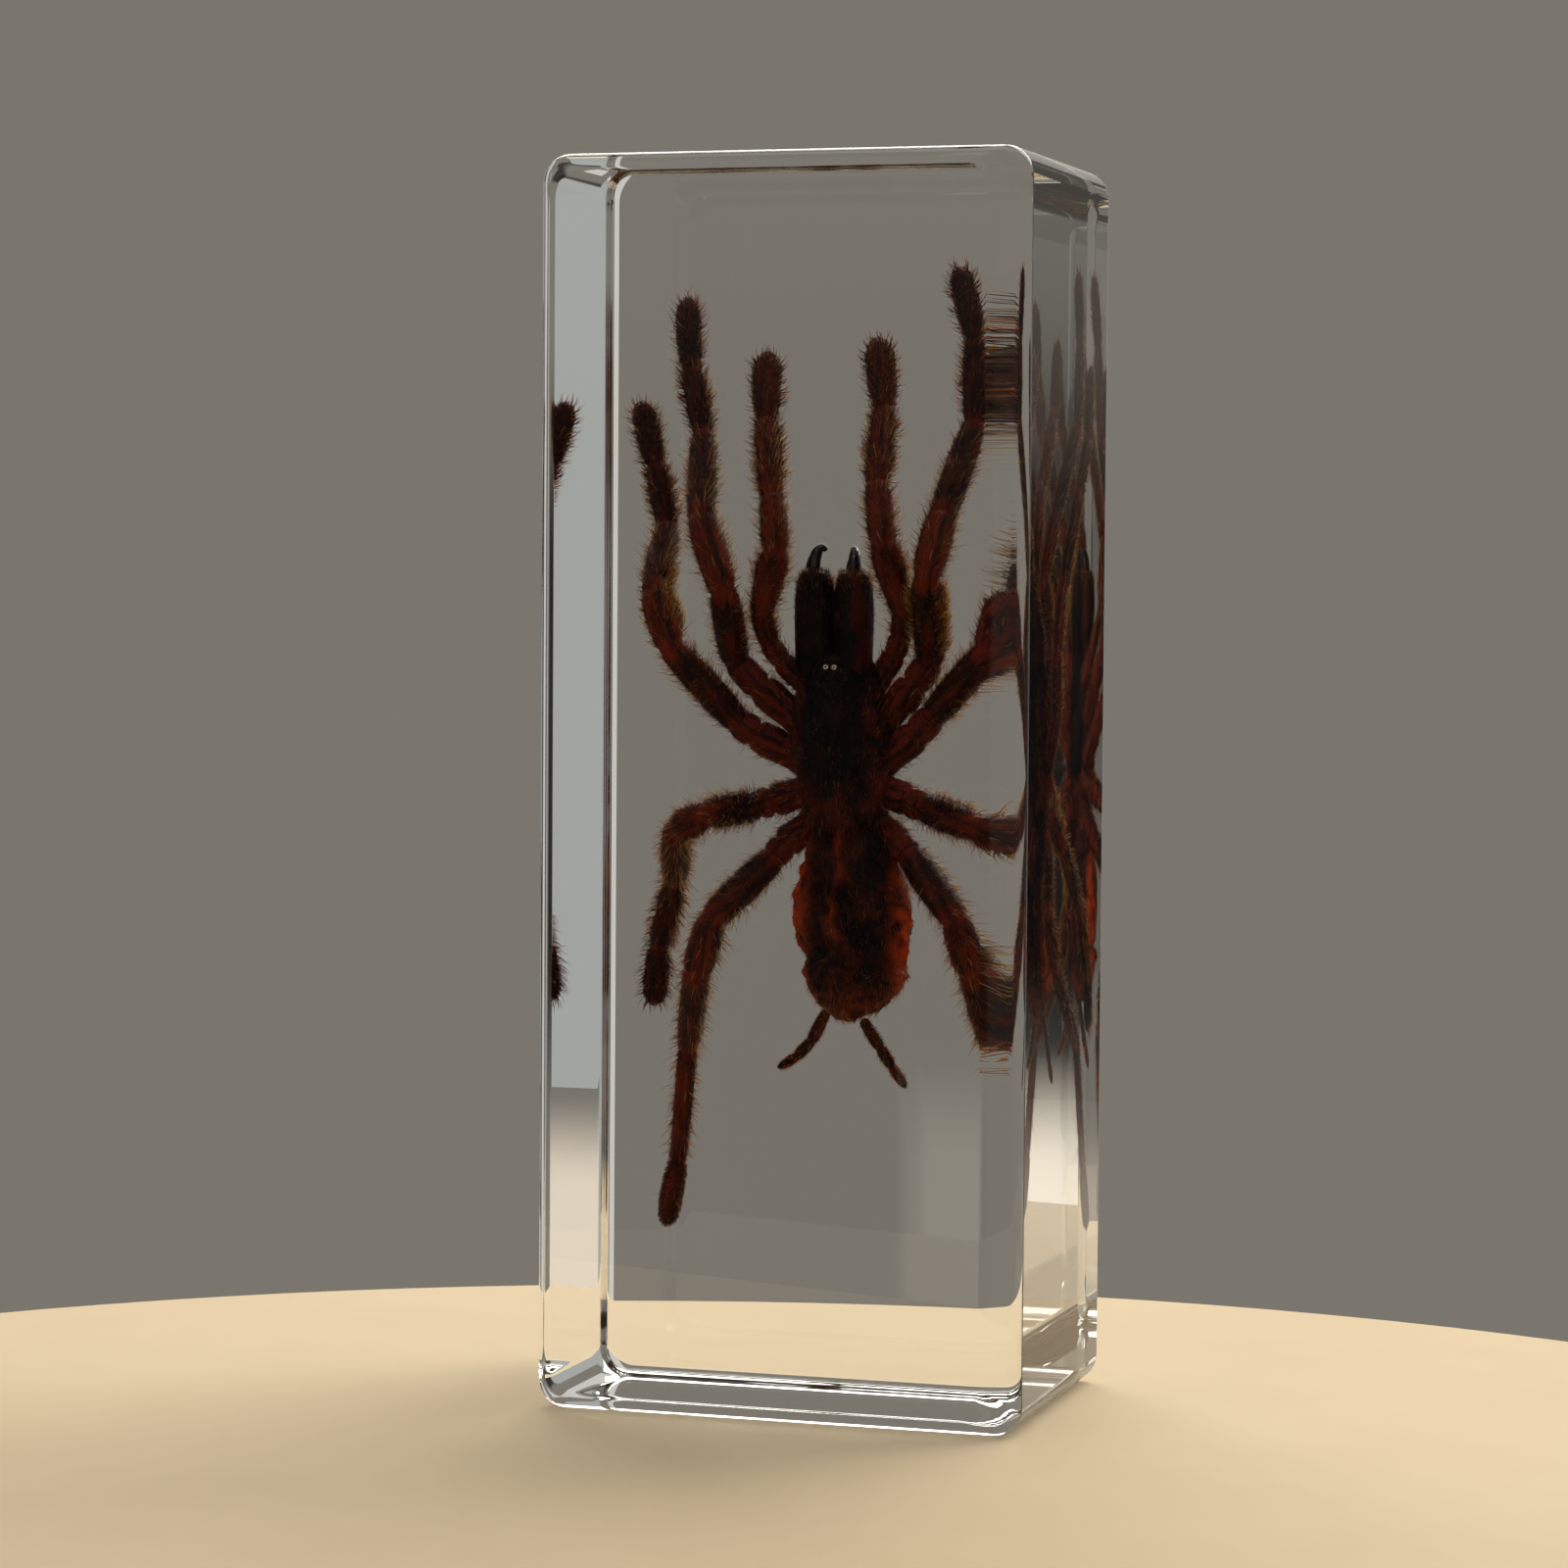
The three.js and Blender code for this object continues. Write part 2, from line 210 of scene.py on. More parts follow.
def turn_selection(rotation, centre):
    """Turns what is selected about a centre; with no window the operator turns the other way."""
    for axis, angle in zip("XYZ", rotation.to_euler("XYZ")):
        if abs(angle) > LEAST_TURN:
            bpy.ops.transform.rotate(
                value=-angle, orient_axis=axis, orient_type="GLOBAL", center_override=centre)


def corners_of(piece):
    corners = np.empty(len(piece.data.vertices) * 3)
    piece.data.vertices.foreach_get("co", corners)
    return corners.reshape(-1, 3)


def move_corners(piece, corners):
    piece.data.vertices.foreach_set("co", corners.ravel())
    piece.data.update()


def normals_of(piece):
    normals = np.empty(len(piece.data.vertices) * 3, np.float32)
    piece.data.vertex_normals.foreach_get("vector", normals)
    return normals.reshape(-1, 3).astype(float)


def shape_of(piece):
    piece.data.calc_loop_triangles()
    triangles = np.empty(len(piece.data.loop_triangles) * 3, np.int32)
    piece.data.loop_triangles.foreach_get("vertices", triangles)
    return Shape(corners_of(piece), normals_of(piece), triangles.reshape(-1, 3))


def paint(piece, name, values):
    """Stores a number or a vector for each corner, for a material to read."""
    kind = "FLOAT" if values.ndim == 1 else "FLOAT_VECTOR"
    key = "value" if values.ndim == 1 else "vector"
    attribute = piece.data.attributes.new(name, kind, "POINT")
    attribute.data.foreach_set(key, values.astype(np.float32).ravel())


def smooth_step(low, high, values):
    share = np.clip((values - low) / (high - low), 0, 1)
    return share * share * (3 - 2 * share)


def rounded_copy(node):
    """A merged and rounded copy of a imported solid, ready to be shaped."""
    piece = bpy.data.objects.new(f"{node}_dressed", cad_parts[node].data.copy())
    bpy.context.collection.objects.link(piece)
    piece.data.materials.clear()
    make_active(piece)
    bpy.ops.mesh.customdata_custom_splitnormals_clear()
    bpy.ops.object.mode_set(mode="EDIT")
    bpy.ops.mesh.select_all(action="SELECT")
    bpy.ops.mesh.remove_doubles(threshold=WELD)
    bpy.ops.mesh.tris_convert_to_quads(face_threshold=math.radians(50), shape_threshold=math.radians(60))
    bpy.ops.object.mode_set(mode="OBJECT")
    subdivide(piece, BODY_SUBDIVISIONS)
    return piece


# Resin block

def plain_inset(drop, radius):
    """How far in from the side a plain rounded edge is, where it has dropped this far below the face."""
    return radius - math.sqrt(drop * (2 * radius - drop))


def back_levels():
    """The back face's edges from the side inwards: the drop, and the insets of left, right and ends."""
    levels = []
    for step in reversed(range(EDGE_STEPS)):
        lean = 0.5 * math.pi * step / EDGE_STEPS
        drop = BACK_EDGE_RADIUS * (1 - math.cos(lean))
        inset = plain_inset(drop, BACK_EDGE_RADIUS)
        levels.append((drop, inset, inset, inset))
    return levels


def front_levels():
    """The same for the front face, whose right edge is the eased one."""
    turn = (EDGE_RADIUS - EASED_RADIUS * (1 - math.cos(EASED_LEAN))) / math.cos(EASED_LEAN)
    reach = (EASED_RADIUS - turn) * math.sin(EASED_LEAN) + turn
    levels = []
    for step in reversed(range(1, EDGE_STEPS)):
        lean = EASED_LEAN + (0.5 * math.pi - EASED_LEAN) * step / EDGE_STEPS
        levels.append((EDGE_RADIUS - turn * math.cos(lean), turn * (1 - math.sin(lean))))
    for step in reversed(range(EASED_STEPS + 1)):
        lean = EASED_LEAN * step / EASED_STEPS
        levels.append((EASED_RADIUS * (1 - math.cos(lean)), reach - EASED_RADIUS * math.sin(lean)))
    insets = [plain_inset(drop, EDGE_RADIUS) for drop, _ in levels]
    return [(drop, inset, right, inset) for (drop, right), inset in zip(levels, insets)]


def model_block():
    """The block: a bar with round corners, whose front and back faces are drawn in level by level."""
    size = solids_high - solids_low
    middle = (solids_low + solids_high) / 2
    deselect()
    core = (size.x, size.y - EDGE_RADIUS - BACK_EDGE_RADIUS, size.z)
    core_middle = middle + Vector((0, (EDGE_RADIUS - BACK_EDGE_RADIUS) / 2, 0))
    bpy.ops.mesh.primitive_cube_add(size=1, location=core_middle, scale=core)
    block = bpy.context.active_object
    block.name = "resin_block"
    settle(block)

    bpy.ops.object.mode_set(mode="EDIT")
    select_edges(block, lambda a, b: abs(a.y - b.y) > MM)
    bpy.ops.mesh.bevel(offset=CORNER_RADIUS, segments=CORNER_STEPS, affect="EDGES")
    for side, radius, levels in ((-1, EDGE_RADIUS, front_levels()), (1, BACK_EDGE_RADIUS, back_levels())):
        select_faces(block, lambda normal: normal.y * side > FACING)
        depth, shift, width, height = radius, 0, size.x, size.z
        for drop, left, right, end in levels:
            new_shift = (left - right) / 2
            new_width = size.x - left - right
            new_height = size.z - 2 * end
            move = Vector((0, side * (depth - drop), 0))
            bpy.ops.mesh.extrude_region_move(TRANSFORM_OT_translate={"value": move})
            about = middle + Vector((shift, 0, 0))
            shrink = (new_width / width, 1, new_height / height)
            bpy.ops.transform.resize(value=shrink, center_override=about)
            bpy.ops.transform.translate(value=(new_shift - shift, 0, 0))
            depth, shift, width, height = drop, new_shift, new_width, new_height
    bpy.ops.object.mode_set(mode="OBJECT")
    shade_round(block)
    apply_modifier(block, "WEIGHTED_NORMAL", weight=100, keep_sharp=False)
    return block


# Limbs

def solid_rings(node):
    """Middles and radii of a packed limb's rings, hip first."""
    shape = bmesh.new()
    shape.from_mesh(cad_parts[node].data)
    bmesh.ops.remove_doubles(shape, verts=shape.verts, dist=WELD)
    shape.verts.index_update()
    ends = [corner for corner in shape.verts if len(corner.link_edges) == SOLID_FACETS]
    root = min(ends, key=lambda corner: (corner.co - shield_middle).length)
    seen = {root}
    ring = {edge.other_vert(root) for edge in root.link_edges}
    middles, radii = [], []
    while len(ring) == SOLID_FACETS:
        places = [corner.co for corner in sorted(ring, key=lambda corner: corner.index)]
        middle = sum(places, Vector()) / SOLID_FACETS
        middles.append(middle)
        radii.append(ROUNDING_LOSS * sum((place - middle).length for place in places) / SOLID_FACETS)
        seen |= ring
        ring = {edge.other_vert(corner) for corner in ring for edge in corner.link_edges} - seen
    shape.free()
    return middles, radii


def limb_joints(middles, tuck):
    """The limb's joints, hip first, with the hip tucked into the body."""
    joints = [middle.copy() for middle in middles[:-2:SOLID_RINGS_PER_SEGMENT]] + [middles[-1].copy()]
    joints[0] -= (joints[1] - joints[0]).normalized() * tuck
    return joints


def limb_stations(node, tuck, waist, rim):
    """Rings of a dressed limb: each joint is a rounded bend with a waist, and a rim on each side of it."""
    middles, radii = solid_rings(node)
    joints = limb_joints(middles, tuck)
    last = len(joints) - 1
    headings = [(after - before).normalized() for before, after in zip(joints, joints[1:])]
    lengths = [(after - before).length for before, after in zip(joints, joints[1:])]
    bends = [0.0] * len(joints)
    for i in range(1, last):
        half_turn = headings[i - 1].angle(headings[i]) / 2
        wanted = BEND_PER_RADIUS * radii[SOLID_RINGS_PER_SEGMENT * i] * math.tan(half_turn)
        bends[i] = min(max(wanted, LEAST_BEND), MOST_BEND * min(lengths[i - 1], lengths[i]))

    stations = []
    for i in range(last):
        first_ring = SOLID_RINGS_PER_SEGMENT * i
        last_ring = len(middles) - 1 if i == last - 1 else first_ring + SOLID_RINGS_PER_SEGMENT
        knots = [(middle - joints[i]).length for middle in middles[first_ring:last_ring + 1]]
        girth = radii[first_ring:last_ring + 1]
        start, end = bends[i], lengths[i] - bends[i + 1]
        count = max(2, round((end - start) / RING_SPACING))
        for k in range(count + 1):
            along = start + (end - start) * k / count
            radius = float(np.interp(along, knots, girth))
            beside_joint = (k == 0 and i > 0) or (k == count and i < last - 1)
            place = joints[i] + headings[i] * along
            stations.append(Station(place, headings[i], radius * (rim if beside_joint else 1)))
        if i < last - 1:
            joint, bend = joints[i + 1], bends[i + 1]
            before = joint - headings[i] * bend
            after = joint + headings[i + 1] * bend
            half_waist = 0.5 * (1 + waist)
            for share, squeeze in ((0.25, half_waist), (0.5, waist), (0.75, half_waist)):
                place = before * (1 - share) ** 2 + joint * (2 * share * (1 - share)) + after * share ** 2
                heading = headings[i].lerp(headings[i + 1], share).normalized()
                stations.append(Station(place, heading, girth[-1] * squeeze))
    return stations


def model_limb(node, tuck, waist=1.0, rim=1.0):
    """A limb: a disc at the hip, drawn out from ring to ring."""
    stations = limb_stations(node, tuck, waist, rim)
    first = stations[0]
    limb = make_disc(f"{node}_dressed", LIMB_FACETS, first.radius, first.place, first.heading)
    bpy.ops.object.mode_set(mode="EDIT")
    bpy.ops.mesh.select_all(action="SELECT")
    for before, after in zip(stations, stations[1:]):
        bpy.ops.mesh.extrude_region_move(TRANSFORM_OT_translate={"value": after.place - before.place})
        turn_selection(before.heading.rotation_difference(after.heading), after.place)
        grow = after.radius / before.radius
        bpy.ops.transform.resize(value=(grow, grow, grow), center_override=after.place)
    round_off(limb, LIMB_SUBDIVISIONS)
    shade_round(limb)
    return limb


def measure_along(node, corners):
    """For each limb corner: segment and share, millimetres from the hip, heading, offset from the axis."""
    joints = np.array([list(joint) for joint in limb_joints(solid_rings(node)[0], 0)])
    spans = joints[1:] - joints[:-1]
    lengths = np.linalg.norm(spans, axis=1)
    starts = np.concatenate([[0], np.cumsum(lengths)[:-1]])
    offsets = corners[:, None, :] - joints[None, :-1, :]
    shares = np.clip((offsets * spans).sum(2) / lengths ** 2, 0, 1)
    gaps = np.linalg.norm(offsets - shares[:, :, None] * spans, axis=2)
    nearest = gaps.argmin(1)
    share = shares[np.arange(len(corners)), nearest]
    segment = nearest + np.minimum(share, 0.999)
    along = (starts[nearest] + share * lengths[nearest]) / MM
    axis_points = joints[nearest] + share[:, None] * spans[nearest]
    headings = spans[nearest] / lengths[nearest][:, None]
    return segment, along, headings, corners - axis_points


def paint_limb(node, limb, ruddy_where):
    """Marks a limb where it is ruddy, and with a grain that runs along it."""
    segment, along, headings, outward = measure_along(node, corners_of(limb))
    depth = np.array([0.0, 1.0, 0.0])
    sideways = np.cross(headings, depth)
    sideways /= np.maximum(np.linalg.norm(sideways, axis=1, keepdims=True), LEAST_LENGTH)
    across = (outward * sideways).sum(1) / MM
    front = outward[:, 1] / MM
    paint(limb, "ruddy", ruddy_where(segment))
    paint(limb, "grain", np.column_stack([across, front, GRAIN_STRETCH * along]))


def leg_ruddiness(segment):
    """Most at the joints, then on the knee and the hip."""
    joint = 1 - smooth_step(0.02, 0.16, 0.5 - np.abs(segment % 1 - 0.5))
    hip = 0.6 * (1 - smooth_step(1.6, 2.3, segment))
    knee = 0.8 * (1 - smooth_step(0.2, 0.7, np.abs(segment - 3.5)))
    return np.maximum(joint, np.maximum(hip, knee))


def hind_leg_ruddiness(segment):
    """As on the other legs, and on the last two segments as far as the dark tip."""
    foot = 0.9 * smooth_step(4.8, 5.4, segment) * (1 - smooth_step(6.7, 6.9, segment))
    return np.maximum(leg_ruddiness(segment), foot)


def palp_ruddiness(segment):
    """As on a leg, and all over to a lesser degree."""
    return np.maximum(leg_ruddiness(segment), 0.6)


def spinneret_ruddiness(segment):
    """On the end segment alone."""
    return smooth_step(1.8, 2.1, segment)


# Limbs that are ruddy in another way than most legs
RUDDINESS = {
    "leg_4_left": hind_leg_ruddiness, "leg_4_right": hind_leg_ruddiness,
    "pedipalp_left": palp_ruddiness, "pedipalp_right": palp_ruddiness,
    "spinneret_left": spinneret_ruddiness, "spinneret_right": spinneret_ruddiness,
}


# Body pieces: their forms are drawn in millimetres, across and along from each piece's middle

# Outlines as seen from the front: [along, left, right]
SHIELD_OUTLINE = np.array([
    [-8.0, -2.6, 3.6], [-6.1, -3.3, 4.4], [-4.0, -3.5, 4.6], [-1.5, -4.1, 4.8], [1.5, -4.25, 4.8],
    [4.5, -3.9, 4.3], [6.7, -3.55, 3.75], [8.2, -3.3, 3.4],
])
ABDOMEN_OUTLINE = np.array([
    [-8.2, -0.9, 0.5], [-7.7, -1.9, 1.8], [-6.8, -2.9, 3.3], [-5.5, -4.0, 4.4], [-4.0, -4.6, 5.0],
    [-2.7, -4.15, 5.15], [-0.9, -5.2, 5.45], [0.8, -5.5, 5.55], [3.0, -5.35, 5.35], [5.0, -5.0, 4.9],
    [7.0, -4.7, 4.4], [8.2, -4.3, 4.0],
])


def fit_outline(across, along, outline):
    """Places across a body piece, stretched so that its sides follow the outline."""
    levels = np.linspace(along.min(), along.max(), 24)
    near = 0.6 * (levels[1] - levels[0])
    fitted = np.zeros_like(across)
    for side, column in ((-1, 1), (1, 2)):
        outward = np.maximum(side * across, 0)
        halves = [outward[np.abs(along - level) <= near].max() for level in levels]
        reach = np.maximum(np.interp(along, levels, halves), 0.3)
        fitted += outward / reach * np.interp(along, outline[:, 0], outline[:, column])
    return fitted


def fitted_body(node, middle, outline):
    """A body piece whose sides follow an outline, and where its corners are, in metres and millimetres."""
    piece = rounded_copy(node)
    corners = corners_of(piece)
    along = (corners[:, 2] - middle.z) / MM
    across = fit_outline((corners[:, 0] - middle.x) / MM, along, outline)
    corners[:, 0] = middle.x + across * MM
    move_corners(piece, corners)
    return piece, corners, across, along


def model_shield():
    """The head shield: a raised head, and a pit with furrows out to the hips; below, the breast plate."""
    shield, corners, across, along = fitted_body("head_shield", shield_middle, SHIELD_OUTLINE)
    normals = normals_of(shield)
    pit = np.array([shield_middle.x, shield_middle.z - 1.6 * MM])
    offset = (corners[:, [0, 2]] - pit) / MM
    reach = np.hypot(offset[:, 0], offset[:, 1])
    bearing = np.arctan2(np.abs(offset[:, 0]), offset[:, 1])
    on_back = smooth_step(0.1, 0.5, -normals[:, 1])
    furrows = np.zeros(len(corners))
    for aim in (0.42, 0.95, 1.5, 2.1, 2.7):
        furrows += np.exp(-((bearing - aim) * reach / 0.32) ** 2)
    furrows *= smooth_step(0.4, 1.6, reach) * (1 - 0.5 * smooth_step(3.0, 5.5, reach))
    head = smooth_step(1.0, 3.4, offset[:, 1]) * (1 - smooth_step(1.2, 2.8, np.abs(offset[:, 0])))
    hollow = np.exp(-(offset[:, 0] / 0.9) ** 2 - (offset[:, 1] / 0.35) ** 2)
    on_belly = smooth_step(0.1, 0.5, normals[:, 1])
    plate = np.hypot((across - 0.2) / 2.3, (along + 0.6) / 3.4)
    seam = np.exp(-((plate - 1) / 0.13) ** 2)
    rise = on_back * (0.5 * head - 0.35 * furrows - 0.8 * hollow) * MM
    rise += on_belly * (0.25 * (1 - smooth_step(0.6, 1.0, plate)) - 0.4 * seam) * MM
    move_corners(shield, corners + normals * rise[:, None])
    ruffle(shield, 0.8 * MM, 0.35 * MM)
    ruffle(shield, 0.35 * MM, 0.12 * MM)
    tail = 1 - smooth_step(-6.0, -2.5, along)
    paint(shield, "margin", np.maximum(smooth_step(2.2, 4.4, np.abs(across)), 0.7 * tail))
    shade_round(shield)
    return shield


def model_abdomen():
    """The shrunken hind body: a ridge and folds on its back, creases on its belly, wrinkles all over."""
    abdomen, corners, across, along = fitted_body("abdomen", abdomen_middle, ABDOMEN_OUTLINE)
    normals = normals_of(abdomen)
    on_back = smooth_step(-0.1, 0.5, -normals[:, 1])
    weave = 0.35 * np.sin(0.9 * along) + 0.2 * np.sin(2.1 * along + 1.0)
    ridge = np.exp(-((across + 0.9 + weave) / 0.45) ** 2) * smooth_step(-3.5, -1.5, along)
    hollows = np.exp(-((across - 1.1 + weave) / 0.9) ** 2) + np.exp(-((across + 2.6 + weave) / 0.8) ** 2)
    hollows *= smooth_step(-4.0, -2.0, along) * (1 - smooth_step(4.5, 6.5, along))
    fold_line = along + 4.6 - 0.2 * across + 0.25 * np.sin(1.6 * across)
    folds = np.exp(-(fold_line / 0.35) ** 2) - 0.8 * np.exp(-((fold_line - 0.8) / 0.4) ** 2)
    folds *= smooth_step(-1.5, 1.0, across)
    on_belly = smooth_step(-0.1, 0.5, normals[:, 1])
    crease = along - 3.0 + 0.06 * across ** 2
    creases = np.exp(-(crease / 0.3) ** 2) + 0.7 * np.exp(-((crease + 2.0) / 0.3) ** 2)
    rise = on_back * (0.8 * ridge - 0.8 * hollows + 0.7 * folds) * MM - on_belly * 0.45 * creases * MM
    front_tuck = np.zeros_like(corners)
    front_tuck[:, 2] = 1.6 * MM * smooth_step(6.5, 8.0, along)
    move_corners(abdomen, corners + normals * rise[:, None] + front_tuck)
    ruffle(abdomen, 1.6 * MM, 0.8 * MM)
    ruffle(abdomen, 0.7 * MM, 0.45 * MM)
    ruffle(abdomen, 0.3 * MM, 0.15 * MM)
    # Painted glow of light shining through the thin skin from behind: strongest at the left and right edges,
    # some along the ridge and towards the tail.
    half_width = (abdomen_high.x - abdomen_low.x) / 2 / MM
    glow = smooth_step(0.62, 0.98, np.abs(across) / half_width) + 0.22 * ridge
    paint(abdomen, "margin", np.clip(glow + 0.15 * (1 - smooth_step(-7.0, -3.0, along)), 0, 1))
    shade_round(abdomen)
    return abdomen


JAW_MEETING = 0.06 * MM
JAW_ROOT = 2.6 * MM
JAW_STREAKS = 0.03 * MM
# Painted rim light on each jaw's outer side, reddening it and paling its brow hairs: more on the right jaw,
# where the light falls.
JAW_PAINTED_GLINT = {"jaw_left": 0.15, "jaw_right": 0.6}


def model_jaw(node):
    """A jaw base: a blunt column that meets its neighbour, with its foot tucked into the head shield."""
    jaw = rounded_copy(node)
    low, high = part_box(node)
    middle = (low + high) / 2
    between = sum((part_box(other)[0].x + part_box(other)[1].x) / 2 for other in JAWS) / len(JAWS)
    corners = corners_of(jaw)
    along = (corners[:, 2] - low.z) / (high.z - low.z)
    across = corners[:, 0] - middle.x
    inward = math.copysign(1, between - middle.x)
    inner_reach = abs(between - middle.x) + JAW_MEETING
    outer_reach = high.x - middle.x
    widest = np.abs(across).max()
    across *= np.where(across * inward > 0, inner_reach, outer_reach) / widest
    across = np.where(across * inward > 0, np.clip(across, -inner_reach, inner_reach), across)
    corners[:, 0] = middle.x + across
    move_corners(jaw, corners)
    normals = normals_of(jaw)
    bearing = np.arctan2(corners[:, 1] - middle.y, corners[:, 0] - middle.x)
    streaks = np.sin(19 * bearing + 2.0 * np.sin(5 * along)) * smooth_step(0.05, 0.3, along)
    rise = JAW_STREAKS * streaks * (1 - smooth_step(0.85, 0.98, along))
    foot_tuck = np.zeros_like(corners)
    foot_tuck[:, 2] = -JAW_ROOT * (1 - smooth_step(0.0, 0.3, along))
    move_corners(jaw, corners + normals * rise[:, None] + foot_tuck)
    ruffle(jaw, 0.7 * MM, 0.08 * MM)
    # Painted rim light: the jaw's outer side is marked to be reddened, much more on the right jaw, where the
    # light falls.
    paint(jaw, "margin", JAW_PAINTED_GLINT[node] * smooth_step(-0.2, 0.5, -across * inward / outer_reach))
    shade_round(jaw)
    return jaw


EYE_APART = 0.78 * MM
EYE_SHIFT = -0.2 * MM
EYE_HEIGHT = 6.75 * MM
EYE_RADIUS = 0.235 * MM
EYE_FACETS = 24
EYE_SUBDIVISIONS = 1
EYE_SINK = 0.06 * MM
EYE_STAND = 0.15 * MM
RIM_STEPS = ((0.04, 0.03), (0.06, -0.03), (0.01, -0.04))    # inset and rise, in millimetres
LENS_INSET = 0.6         # of the lens's radius
LENS_BULGE = 0.05 * MM


def model_eye(name, across, shield):
    """One eye: a pale rim round a dark lens, set in the head shield's mound."""
    place = Vector((shield_middle.x + EYE_SHIFT + across, solids_low.y, shield_middle.z + EYE_HEIGHT))
    _, spot, normal, _ = shield.ray_cast(place, Vector((0, 1, 0)))
    eye = make_disc(name, EYE_FACETS, EYE_RADIUS, spot - normal * EYE_SINK, normal)
    bpy.ops.object.mode_set(mode="EDIT")
    bpy.ops.mesh.select_all(action="SELECT")
    bpy.ops.mesh.extrude_region_move(TRANSFORM_OT_translate={"value": normal * EYE_STAND})
    lens_ring = EYE_RADIUS
    for inset, rise in RIM_STEPS:
        bpy.ops.mesh.inset(thickness=inset * MM)
        bpy.ops.transform.translate(value=normal * rise * MM)
        lens_ring -= inset * MM
    bpy.ops.mesh.inset(thickness=LENS_INSET * lens_ring)
    bpy.ops.transform.translate(value=normal * LENS_BULGE)
    round_off(eye, EYE_SUBDIVISIONS)
    gaps = np.linalg.norm(np.cross(corners_of(eye) - np.array(spot), np.array(normal)), axis=1)
    paint(eye, "lens", 1 - smooth_step(0.95 * lens_ring, 1.1 * lens_ring, gaps))
    shade_round(eye)
    return eye


# Bristles and hairs

# Each kind: how many, length and width in millimetres, slant from the upright, tone from dark to pale
Hair = namedtuple("Hair", "count length width slant tone")
LIMB_COAT = Hair(2600, 0.55, 0.05, 1.25, 0.14)
LIMB_FRINGE = Hair(1100, 1.25, 0.055, 0.8, 0.72)
LIMB_BRISTLES = Hair(180, 1.7, 0.06, 0.7, 0.45)
HIP_TUFTS = Hair(180, 1.1, 0.05, 0.95, 0.45)
FOOT_BRUSH = Hair(1300, 0.4, 0.06, 0.95, 0.05)
FOOT_FRINGE = Hair(520, 1.3, 0.075, 0.7, 0.26)
THICK_PATCH = Hair(600, 1.2, 0.055, 0.9, 0.45)
SHIELD_COAT = Hair(1500, 0.45, 0.04, 1.2, 0.15)
SHIELD_RIM = Hair(450, 1.0, 0.05, 0.95, 0.35)
SHIELD_TAIL = Hair(450, 0.9, 0.05, 0.95, 0.3)
ABDOMEN_COAT = Hair(2400, 0.5, 0.045, 1.2, 0.2)
ABDOMEN_BRISTLES = Hair(450, 0.9, 0.055, 1.0, 0.45)
FOLD_HAIRS = Hair(130, 0.8, 0.045, 1.25, 0.46)
JAW_COAT = Hair(700, 0.5, 0.04, 1.25, 0.15)
JAW_BROW = Hair(300, 0.65, 0.05, 0.55, 0.1)
SPINNERET_COAT = Hair(420, 0.42, 0.045, 0.95, 0.45)
HAIR_WANDER = 0.22
HAIR_DEPTH = 0.05 * MM
HAIR_LENGTHS = (0.55, 1.2)      # the shortest and the longest, of the kind's length
SLANT_SPREAD = 0.16
SLANT_LIMITS = (0.1, 1.45)
ROOT_SLANT = 0.75               # of the lower half and of the upper one, for a hair's slant
TIP_SLANT = 1.15
TONE_SPREAD = 0.18
ROOT_GIRTH = 0.5                # radius at the root and halfway up, for a hair's width
MIDDLE_GIRTH = 0.38
HAIR_FACES = np.array([[0, 2, 1], [0, 1, 4], [0, 4, 3], [1, 2, 5], [1, 5, 4],
                       [2, 0, 3], [2, 3, 5], [3, 4, 6], [4, 5, 6], [5, 3, 6]])


